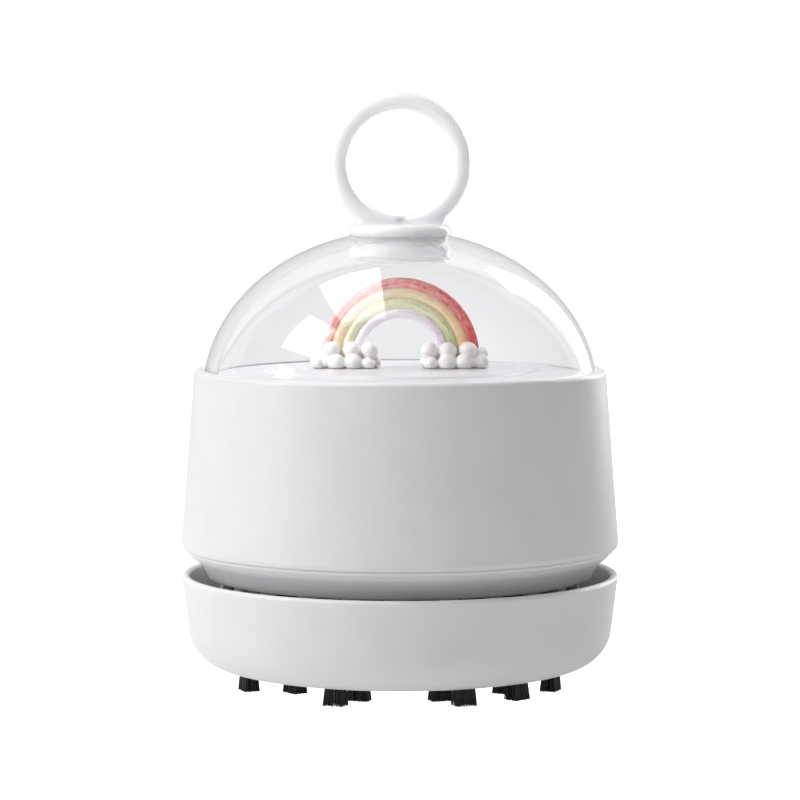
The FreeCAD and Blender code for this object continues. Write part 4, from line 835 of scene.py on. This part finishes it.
@dataclass
class BrushTray(SubAssembly):
    """Pull-off dust tray with two rings of bristle tufts under it.

    A tuft is width_mm by depth_mm at its root, which sits root_mm deep in the plate, and reaches
    reach_mm below it. Its threads spread and stray a little, and their tips are cut unevenly and aslant,
    clear_mm above the table at the lowest.
    """

    title: str = "tray"
    bristle_r_mm: float = 0.17
    bristle_pitch_mm: float = 0.31
    bristle_sides: int = 5
    pattern_mm: float = 1000.0
    bow_mm: float = 0.04
    middle_share: float = 0.97
    tip_share: float = 0.72
    reach_mm: float = 3.6
    root_mm: float = 0.6
    width_mm: float = 3.7
    depth_mm: float = 2.7
    spread_mm: float = 0.45
    stray_mm: float = 0.06
    slant_share: float = 0.5
    uneven_mm: float = 0.14
    clear_mm: float = 0.04
    # Places of the tufts in degrees: evenly round, with two more between them in the outer ring.
    outer_r_mm: float = 31.7
    outer_turns: tuple[float, ...] = tuple(22.5 + 45.0 * step for step in range(8)) + (45.0, 225.0)
    inner_r_mm: float = 25.0
    inner_turns: tuple[float, ...] = tuple(18.0 + 36.0 * step for step in range(10))
    kinds: int = 3
    seed: int = 11

    def coats(self) -> dict[str, Finish]:
        """Return the finish of each solid that keeps its shape."""
        return {"dust_tray": THIN_WHITE, "dust_cup": INNER_GREY, "suction_mouth": INNER_GREY,
                "brush_plate": INNER_GREY}

    def draw_bristle(self) -> bpy.types.Object:
        """Model one bristle that hangs from the origin: root at zero, a slight bow and a cut tip.

        Returns:
            The bristle, one metre long, so that its scale is its length.
        """
        clear_selection()
        bpy.ops.mesh.primitive_circle_add(
            vertices=self.bristle_sides, radius=self.bristle_r_mm * MM, fill_type="NGON")
        piece = bpy.context.object
        open_mesh(piece)
        for bow, share in ((self.bow_mm, self.middle_share), (-self.bow_mm, self.tip_share)):
            extrude((bow, 0.0, -self.pattern_mm / 2))
            bpy.ops.transform.resize(value=(share, share, 1.0))
        face_outwards()
        close_mesh()
        return piece

    def bind_tuft(self, bristle: bpy.types.Object, dice: random.Random) -> bpy.types.Object:
        """Bind copies of one bristle into a tuft that fans out, cut a little aslant.

        Args:
            bristle: Bristle one metre long.
            dice: Source of the unevenness.

        Returns:
            The tuft at the origin, its width along x.
        """
        across = round(self.width_mm / self.bristle_pitch_mm)
        deep = round(self.depth_mm / self.bristle_pitch_mm)
        half = Vector((self.width_mm / 2 - self.bristle_r_mm, self.depth_mm / 2 - self.bristle_r_mm))
        slant = dice.uniform(-self.slant_share, self.slant_share)
        threads = []
        for column in range(across):
            for row in range(deep):
                u = 2 * (column + 0.5 + 0.5 * (row % 2 - 0.5)) / across - 1
                v = 2 * (row + 0.5) / deep - 1
                root = Vector((u * half.x, v * half.y, self.reach_mm + self.root_mm))
                short = self.uneven_mm * (self.slant_share + slant * u) * dice.random()
                tip = Vector((root.x + u * self.spread_mm + dice.uniform(-self.stray_mm, self.stray_mm),
                              root.y + v * self.spread_mm + dice.uniform(-self.stray_mm, self.stray_mm),
                              self.clear_mm + short))
                lean = tip - root
                turn = Vector((0, 0, -1)).rotation_difference(lean).to_matrix().to_4x4()
                spun = Matrix.Rotation(dice.uniform(0, math.tau), 4, "Z")
                stretch = Matrix.Diagonal((1.0, 1.0, lean.length / self.pattern_mm, 1.0))
                threads.append(copy_piece(bristle, Matrix.Translation(root * MM) @ turn @ spun @ stretch))
        return join_pieces(threads)

    def shape(self) -> None:
        """Build the two rings of tufts."""
        dice = random.Random(self.seed)
        bristle = self.draw_bristle()
        kinds = [self.bind_tuft(bristle, dice) for _ in range(self.kinds)]
        rings = (("outer_bristles", "outer_tufts", self.outer_r_mm, self.outer_turns),
                 ("inner_bristles", "inner_tufts", self.inner_r_mm, self.inner_turns))
        for name, node, radius, turns in rings:
            tufts = []
            for step, angle in enumerate(turns):
                outwards = Matrix.Translation((0, -radius * MM, 0))
                place = Matrix.Rotation(math.radians(angle), 4, "Z") @ outwards
                tufts.append(copy_piece(kinds[step % self.kinds], place))
            ring = settle(join_pieces(tufts), name, angle_deg=50.0)
            self.stand_in(ring, "tray", (node,), "black_bristle", BRISTLE_NYLON)
        discard(bristle, *kinds)


@dataclass
class FilterUnit(SubAssembly):
    """Twist-lock filter: holder, wire cloth, foam disc and the tray's seal."""

    title: str = "filter"
    wire_pitch_mm: float = 0.6
    pore_mm: float = 0.7

    def coats(self) -> dict[str, Finish]:
        """Give each solid that keeps its shape a finish.

        Returns:
            The finish by the solid's name.
        """
        return {"filter_holder": INNER_GREY, "tray_seal": SEAL_RUBBER,
                "filter_mesh": WireCloth("steel_wire_cloth", self.wire_pitch_mm, "#C9CBCE", "#1C1D20"),
                "filter_foam": OpenFoam("open_cell_foam", self.pore_mm, "#6A6B70", "#1E1E21")}


@dataclass
class FanUnit(SubAssembly):
    """Centrifugal fan in its housing, closed by the motor plate."""

    title: str = "fan"

    def coats(self) -> dict[str, Finish]:
        """Return the finish of each solid that keeps its shape."""
        return {"fan_housing": HOUSING_WHITE, "impeller": DARK_NYLON, "motor_plate": INNER_GREY,
                "housing_screws": ZINC_STEEL}


@dataclass
class Motor(SubAssembly):
    """Small brushed motor in its mount."""

    title: str = "motor"
    wire_mm: float = 0.4

    def coats(self) -> dict[str, Finish]:
        """Give each solid that keeps its shape a finish.

        Returns:
            The finish by the solid's name.
        """
        return {"motor_can": ZINC_STEEL, "motor_endcap": DARK_NYLON, "motor_bushings": TURNED_BRASS,
                "motor_magnets": FERRITE, "motor_shaft": ZINC_STEEL,
                "motor_armature": WoundWire("enamelled_copper_wire", self.wire_mm, "#C97B45", "#5A2C14"),
                "motor_terminals": TURNED_BRASS, "motor_mount": INNER_GREY, "motor_screws": ZINC_STEEL,
                "mount_screws": ZINC_STEEL}


@dataclass
class Electrics(SubAssembly):
    """Cell in its cradle, circuit board, charging socket, light and switch."""

    title: str = "electrics"
    track_mm: float = 0.45
    land_mm: float = 2.6

    def coats(self) -> dict[str, Finish]:
        """Give each solid that keeps its shape a finish.

        Returns:
            The finish by the solid's name.
        """
        return {"battery_cell": CELL_WRAP, "battery_contacts": ZINC_STEEL, "battery_cradle": DARK_NYLON,
                "circuit_board": CircuitLaminate(
                    "solder_masked_laminate", "#155A30", "#2B8A4C", self.track_mm, self.land_mm),
                "usb_socket": ZINC_STEEL, "indicator_light": LIGHT_MILKY,
                "switch_case": ZINC_STEEL, "switch_actuator": DARK_NYLON, "switch_knob": INNER_GREY}


@dataclass
class Housing(SubAssembly):
    """White outer housing: skirt, shell, display deck and clear dome."""

    title: str = "housing"
    dome_r_mm: float = 38.72
    dome_height_mm: float = 32.1
    dome_centre_z_mm: float = 56.9
    dome_wall_mm: float = 2.2
    dome_rim_z_mm: float = 61.9
    dome_foot_z_mm: float = 59.1
    dome_hole_r_mm: float = 6.9
    dome_segments: int = 192
    dome_rings: int = 128
    skirt_sides: int = 256
    # Radius and height of each point: the rolled lip, down the outside, then up and round the inside.
    skirt_profile_mm: Profile = (
        (41.75, 27.1), (42.0, 26.95), (42.05, 26.6), (41.95, 26.35), (41.6, 26.1), (41.2, 25.6), (40.7, 25.1),
        (40.1, 24.65), (39.6, 24.2), (39.15, 23.7), (38.7, 23.1), (38.3, 22.4), (38.0, 21.8), (37.85, 21.4),
        (37.6, 21.25), (36.4, 21.25), (36.2, 21.4), (36.2, 25.2), (35.0, 25.2), (35.0, 26.4), (38.9, 26.4),
        (38.9, 29.9), (40.5, 29.9), (40.5, 27.1))

    def coats(self) -> dict[str, Finish]:
        """Return the finish of each solid that keeps its shape."""
        return {"upper_shell": HOUSING_WHITE, "display_deck": DECK_SHADED_WHITE}

    def blow_dome(self) -> bpy.types.Object:
        """Shape the dome from a ball: pressed lower, cut at rim and hole, with a straight foot and a wall.

        Returns:
            The dome.
        """
        clear_selection()
        bpy.ops.mesh.primitive_uv_sphere_add(
            segments=self.dome_segments, ring_count=self.dome_rings, radius=self.dome_r_mm * MM,
            location=(0.0, 0.0, self.dome_centre_z_mm * MM))
        dome = bpy.context.object
        centre = (0.0, 0.0, self.dome_centre_z_mm * MM)
        hole_z = self.dome_centre_z_mm + self.dome_height_mm * math.sqrt(
            1 - (self.dome_hole_r_mm / self.dome_r_mm) ** 2)
        open_mesh(dome)
        bpy.ops.transform.resize(
            value=(1.0, 1.0, self.dome_height_mm / self.dome_r_mm), center_override=centre)
        bpy.ops.mesh.bisect(plane_co=(0.0, 0.0, hole_z * MM), plane_no=UP, clear_outer=True)
        bpy.ops.mesh.select_all(action="SELECT")
        bpy.ops.mesh.bisect(plane_co=(0.0, 0.0, self.dome_rim_z_mm * MM), plane_no=UP, clear_inner=True)
        bpy.ops.mesh.select_mode(type="EDGE")
        extrude((0.0, 0.0, self.dome_foot_z_mm - self.dome_rim_z_mm))
        face_outwards()
        close_mesh()
        apply_modifier(dome, "SOLIDIFY", thickness=self.dome_wall_mm * MM, offset=-1.0, use_even_offset=True)
        return settle(dome, "moulded_dome", angle_deg=40.0)

    def shape(self) -> None:
        """Build the skirt with its rolled lip, and the dome, whose even mesh bends light without ripples."""
        skirt = settle(turn_wall(self.skirt_profile_mm, self.skirt_sides), "turned_skirt", angle_deg=50.0)
        self.stand_in(skirt, "housing", ("lower_skirt",), "white_housing", THIN_WHITE)
        self.stand_in(self.blow_dome(), "housing", ("dome_cover",), "clear_dome", DOME_CLEAR)


@dataclass
class CarryRing(SubAssembly):
    """Ring handle on the dome, held from below."""

    title: str = "handle"

    def coats(self) -> dict[str, Finish]:
        """Return the finish of each solid that keeps its shape."""
        return {"ring_handle": HANDLE_WHITE, "handle_retainer": HANDLE_WHITE, "handle_screw": ZINC_STEEL}


class BandPaint(Enum):
    """Painted clay rolls of the rainbow, from the inside out."""

    VIOLET = BrushedClay("violet_polymer_clay", "#FAF2F8", "#E4D4E6", "#FFFBFE")
    GREEN = BrushedClay("green_polymer_clay", "#E8EABF", "#BEC88E", "#F6F6DE")
    ORANGE = BrushedClay("orange_polymer_clay", "#FFE4BE", "#F8C58E", "#FFF2DE")
    RED = BrushedClay("red_polymer_clay", "#F89896", "#D44A4C", "#FFC8C4", blotch_share=0.3, foot_share=0.4)


# White polymer clay of the clouds, rolled into balls and pressed together: soft, chalky white, with a faint
# painted glow that lifts its shade.
CLOUD_CLAY = PolymerClay("white_polymer_clay", "#F3F0EF", "#EDE8E7", "#F8F6F5", painted_glow=0.03)


@dataclass
class Ornament(SubAssembly):
    """Clay rainbow of four rolls that stands in two heaps of clay balls."""

    title: str = "ornament"
    centre_z_mm: float = ARCH_Z_MM
    foot_z_mm: float = 63.0
    podium_z_mm: float = 62.1
    roll_r_mm: float = 0.99
    roll_sides: int = 20
    roll_steps: int = 72
    leg_steps: int = 3
    roll_radii_mm: tuple[float, ...] = (8.6, 10.6, 12.6, 14.6)
    uneven_mm: float = 0.16
    press_mm: float = 1.9
    press_step_mm: float = 0.3
    press_level: float = 0.55
    ball_wide: float = 1.02
    ball_low: float = 0.98
    ball_foot: float = -0.5
    ball_tilt: float = 0.2
    grain_mm: float = 0.11
    melt_rounds: int = 9
    foot_gap_mm: float = 0.02
    # Place and radius of each ball: the upper row, the lower row, fillers, and the row behind the rolls.
    left_balls: tuple[Ball, ...] = (
        (-13.35, -1.7, 65.70, 1.75), (-9.45, -1.7, 65.65, 1.78), (-5.94, -1.7, 65.65, 1.72),
        (-16.0, -1.7, 63.25, 1.55), (-12.40, -2.8, 63.30, 1.75), (-9.15, -2.8, 63.35, 1.80),
        (-6.25, -2.8, 63.05, 1.35), (-5.00, -0.8, 63.3, 1.3), (-15.2, -0.6, 64.5, 1.35),
        (-14.3, -2.0, 63.6, 1.35), (-14.6, 1.4, 63.9, 1.85), (-11.0, 1.6, 64.0, 1.9), (-7.3, 1.4, 63.9, 1.85))
    right_balls: tuple[Ball, ...] = (
        (5.78, -1.7, 65.60, 1.63), (9.31, -1.7, 65.50, 1.82), (13.25, -1.7, 65.60, 1.80),
        (5.2, -0.6, 63.3, 1.30), (6.10, -2.8, 63.05, 1.35), (9.25, -2.8, 63.35, 1.82),
        (12.50, -2.8, 63.30, 1.75), (16.0, -0.6, 65.1, 1.25), (15.75, -1.5, 63.35, 1.62),
        (14.2, -2.0, 63.5, 1.3), (14.6, 1.4, 63.9, 1.85), (11.0, 1.6, 64.0, 1.9), (7.3, 1.4, 63.9, 1.85))

    def roll_band(self, name: str, radius_mm: float, step: int) -> bpy.types.Object:
        """Roll one band: a foot, half a turn round the arch's centre and the other foot.

        Args:
            name: Name for the band.
            radius_mm: Radius of its middle line.
            step: Its place from the inside out, which sets how coarse its unevenness is.

        Returns:
            The band.
        """
        clear_selection()
        bpy.ops.mesh.primitive_circle_add(
            vertices=self.roll_sides, radius=self.roll_r_mm * MM, fill_type="NGON",
            location=(radius_mm * MM, 0.0, self.foot_z_mm * MM))
        band = bpy.context.object
        leg_step = (self.centre_z_mm - self.foot_z_mm) / self.leg_steps
        open_mesh(band)
        for _ in range(self.leg_steps):
            extrude((0.0, 0.0, leg_step))
        bpy.ops.mesh.spin(
            steps=self.roll_steps, angle=math.pi, center=(0.0, 0.0, self.centre_z_mm * MM),
            axis=(0.0, 1.0, 0.0))
        for _ in range(self.leg_steps):
            extrude((0.0, 0.0, -leg_step))
        face_outwards()
        close_mesh()
        press = bpy.data.textures.new(name + "_press", "CLOUDS")
        press.noise_scale = (self.press_mm + self.press_step_mm * step) * MM
        apply_modifier(band, "DISPLACE", texture=press, texture_coords="LOCAL",
                       strength=self.uneven_mm * MM, mid_level=self.press_level)
        return settle(band, name, angle_deg=180.0)

    def heap_balls(self, name: str, balls: Sequence[Ball]) -> bpy.types.Object:
        """Heap clay balls, melt their joints together and press them flat on the podium.

        Args:
            name: Name for the heap.
            balls: Place and radius of each ball.

        Returns:
            The heap.
        """
        clear_selection()
        bpy.ops.mesh.primitive_ico_sphere_add(subdivisions=4, radius=1.0)
        pattern = bpy.context.object
        open_mesh(pattern, "DESELECT")
        select_faces(pattern, lambda face: face.calc_center_median().z < self.ball_foot)
        bpy.ops.transform.resize(
            value=(self.ball_wide, self.ball_wide, self.ball_low), center_override=ORIGIN)
        bpy.ops.mesh.select_all(action="SELECT")
        bpy.ops.mesh.vertices_smooth(factor=0.5, repeat=3)
        bpy.ops.transform.resize(value=(self.ball_wide,) * 3, center_override=ORIGIN)
        close_mesh()
        dice = random.Random(len(name))
        heap = []
        for x, y, z, radius in balls:
            turns = [dice.uniform(-self.ball_tilt, self.ball_tilt) for _ in range(3)]
            tilt = Euler(turns).to_matrix().to_4x4()
            size = radius * MM
            squash = Matrix.Diagonal((size * self.ball_wide, size, size * self.ball_low, 1.0))
            heap.append(copy_piece(pattern, Matrix.Translation(Vector((x, y, z)) * MM) @ tilt @ squash))
        discard(pattern)
        cloud = join_pieces(heap)
        apply_modifier(cloud, "REMESH", mode="VOXEL", voxel_size=self.grain_mm * MM)
        apply_modifier(cloud, "SMOOTH", factor=0.5, iterations=self.melt_rounds)
        open_mesh(cloud)
        foot_z = (self.podium_z_mm + self.foot_gap_mm) * MM
        bpy.ops.mesh.bisect(plane_co=(0.0, 0.0, foot_z), plane_no=UP, clear_inner=True, use_fill=True)
        face_outwards()
        close_mesh()
        return settle(cloud, name, angle_deg=60.0)

    def shape(self) -> None:
        """Build the four bands and the two clouds."""
        for step, (paint, radius) in enumerate(zip(BandPaint, self.roll_radii_mm)):
            colour = paint.name.lower()
            band = self.roll_band(colour + "_band", radius, step)
            self.stand_in(band, "housing", ("rainbow_" + colour,), colour + "_clay", paint.value)
        for side, balls in (("left", self.left_balls), ("right", self.right_balls)):
            cloud = self.heap_balls(side + "_cloud_balls", balls)
            self.stand_in(cloud, "housing", ("cloud_" + side,), "white_clay", CLOUD_CLAY)


# ---- studio ---------------------------------------------------------------------------------
@dataclass(frozen=True)
class SoftBox:
    """Lamp with an even rectangular face."""

    name: str
    middle_mm: Point
    aim_mm: Point
    size_mm: tuple[float, float]
    radiance: float

    def hang(self) -> None:
        """Hang the lamp with its face to the point that it is aimed at, at an even radiance."""
        data = bpy.data.lights.new(self.name, "AREA")
        data.shape = "RECTANGLE"
        data.size, data.size_y = self.size_mm[0] * MM, self.size_mm[1] * MM
        data.energy = self.radiance * math.pi * data.size * data.size_y
        lamp = bpy.data.objects.new(self.name, data)
        lamp.location = [value * MM for value in self.middle_mm]
        away = Vector(self.middle_mm) - Vector(self.aim_mm)
        lamp.rotation_euler = away.to_track_quat("Z", "Y").to_euler()
        bpy.context.scene.collection.objects.link(lamp)


@dataclass(frozen=True)
class LitPaper(Finish):
    """White paper that throws less light on the cleaner than it shows to the eye, mostly from the left.

    It is clear from behind, so that the cleaner can be seen from below. The floor is clear to the eye
    from above too, with a second sheet under it, so that the tray stays in sight when it is pulled down.
    """

    name: str
    shown: float
    spill: float
    mirrored: float
    albedo: float
    lean: float
    lean_reach_mm: float = 130.0
    clear_to_eye: bool = False

    def make(self) -> bpy.types.Material:
        """Build the node tree of this finish.

        Returns:
            The new material.
        """
        material, tree, place = empty_material(self.name)
        parts = add_node(tree, "SeparateXYZ", inputs={0: (place, "Object")})
        side = add_node(tree, "MapRange", {"interpolation_type": "SMOOTHSTEP"}, {
            "Value": (parts, "X"), "From Min": -self.lean_reach_mm * MM, "From Max": self.lean_reach_mm * MM,
            "To Min": self.spill * (1 + self.lean), "To Max": self.spill * (1 - self.lean)})
        path = add_node(tree, "LightPath")
        bounced = add_node(tree, "Math", {"operation": "SUBTRACT"}, {
            0: (path, "Is Glossy Ray"), 1: (path, "Is Transmission Ray")})
        seen = add_node(tree, "MapRange", inputs={
            "Value": (bounced, 0), "To Min": self.shown, "To Max": self.mirrored})
        thrown = add_node(tree, "MapRange", inputs={
            "Value": (path, "Diffuse Depth"), "To Min": (seen, "Result"), "To Max": (side, "Result")})
        light = add_node(tree, "Emission", inputs={"Color": srgb("#FFFFFF"), "Strength": (thrown, "Result")})
        matt = add_node(tree, "BsdfDiffuse", inputs={"Color": (self.albedo, self.albedo, self.albedo, 1.0)})
        front = add_node(tree, "AddShader", inputs={0: (light, 0), 1: (matt, 0)})
        back = add_node(tree, "BsdfTransparent")
        face = add_node(tree, "NewGeometry")
        gone = add_node(tree, "Math", {"operation": "MULTIPLY_ADD", "use_clamp": True}, {
            0: (path, "Is Camera Ray"), 1: float(self.clear_to_eye), 2: (face, "Backfacing")})
        finish_tree(tree, add_node(tree, "MixShader", inputs={0: (gone, 0), 1: (front, 0), 2: (back, 0)}))
        return material


@dataclass
class Studio:
    """Pale seamless floor and backdrop, soft boxes on the left, and the camera."""

    lens_mm: float = 149.27
    sensor_mm: float = 36.0
    nearest_mm: float = 10.0
    farthest_mm: float = 20000.0
    eye_mm: Point = (0.0, -650.0, 106.85)
    pitch_deg: float = 4.5
    floor_r_mm: float = 2500.0
    floor_sides: int = 96
    under_drop_mm: float = 34.0
    backdrop_y_mm: float = 900.0
    backdrop_w_mm: float = 2400.0
    backdrop_h_mm: float = 1500.0
    paper_white: float = 1.0
    floor_albedo: float = 0.5
    floor_spill: float = 0.37
    floor_mirrored: float = 0.35
    floor_lean: float = 0.5
    backdrop_mirrored: float = 0.6
    backdrop_spill: float = 0.4
    room_glow: float = 0.42
    lamps: tuple[SoftBox, ...] = (
        SoftBox("key_box", middle_mm=(-205.0, 20.0, 690.0), aim_mm=(-205.0, 20.0, 0.0),
                size_mm=(265.0, 490.0), radiance=4.5),
        SoftBox("left_box", middle_mm=(-455.0, -150.0, 500.0), aim_mm=(0.0, 0.0, 50.0),
                size_mm=(250.0, 250.0), radiance=6.0),
        SoftBox("low_box", middle_mm=(-573.0, -178.0, 245.0), aim_mm=(0.0, 0.0, 60.0),
                size_mm=(90.0, 90.0), radiance=24.0),
        SoftBox("bounce_box", middle_mm=(-330.0, -130.0, 14.0), aim_mm=(0.0, 0.0, 18.0),
                size_mm=(220.0, 26.0), radiance=3.0),
        SoftBox("rim_box", middle_mm=(380.0, 545.0, 300.0), aim_mm=(0.0, 0.0, 60.0),
                size_mm=(170.0, 560.0), radiance=6.0),
    )

    def place_camera(self) -> None:
        """Set the camera at the eye point, pitched down a little."""
        data = bpy.data.cameras.new("camera")
        data.lens, data.sensor_width = self.lens_mm, self.sensor_mm
        data.clip_start, data.clip_end = self.nearest_mm * MM, self.farthest_mm * MM
        camera = bpy.data.objects.new("camera", data)
        camera.location = [value * MM for value in self.eye_mm]
        camera.rotation_euler = (math.radians(90.0 - self.pitch_deg), 0.0, 0.0)
        bpy.context.scene.collection.objects.link(camera)
        bpy.context.scene.camera = camera

    def lay_paper(self) -> None:
        """Lay the floor with a sheet under it, and hang the backdrop behind the cleaner."""
        for name, clear, height in (("floor", True, 0.0), ("under", False, -self.under_drop_mm)):
            clear_selection()
            bpy.ops.mesh.primitive_circle_add(
                vertices=self.floor_sides, radius=self.floor_r_mm * MM, fill_type="NGON",
                location=(0.0, 0.0, height * MM))
            sheet = settle(bpy.context.object, "studio_" + name)
            paper = LitPaper(
                name + "_paper", shown=self.paper_white, spill=self.floor_spill, mirrored=self.floor_mirrored,
                albedo=self.floor_albedo, lean=self.floor_lean, clear_to_eye=clear)
            paper.paint(sheet)
        clear_selection()
        bpy.ops.mesh.primitive_plane_add(
            size=1.0, location=(0, self.backdrop_y_mm * MM, self.backdrop_h_mm * MM / 2),
            rotation=(math.radians(90), 0, 0))
        backdrop = bpy.context.object
        backdrop.scale = (self.backdrop_w_mm * MM, self.backdrop_h_mm * MM, 1)
        paper = LitPaper(
            "backdrop_paper", shown=self.paper_white, spill=self.backdrop_spill,
            mirrored=self.backdrop_mirrored, albedo=0.0, lean=0.0)
        paper.paint(settle(backdrop, "studio_backdrop"))

    def set_room(self) -> None:
        """Fill the rest of the room with an even dim light."""
        world = bpy.data.worlds.new("room")
        world.use_nodes = True
        background = world.node_tree.nodes["Background"]
        background.inputs["Color"].default_value = srgb("#FFFFFF")
        background.inputs["Strength"].default_value = self.room_glow
        bpy.context.scene.world = world
        bpy.context.scene.view_settings.view_transform = "Standard"

    def build(self) -> None:
        """Set up floor, backdrop, lamps, room and camera."""
        self.set_room()
        self.lay_paper()
        for lamp in self.lamps:
            lamp.hang()
        self.place_camera()
        LOG.info("studio: floor, backdrop, lamps and camera")


def main() -> None:
    """Build everything in order."""
    logging.basicConfig(level=logging.INFO, format="%(message)s")
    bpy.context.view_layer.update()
    Studio().build()
    assemblies = (
        BrushTray(), FilterUnit(), FanUnit(), Motor(), Electrics(), Housing(), CarryRing(), Ornament())
    for assembly in assemblies:
        assembly.build()


if __name__ == "__main__":
    main()
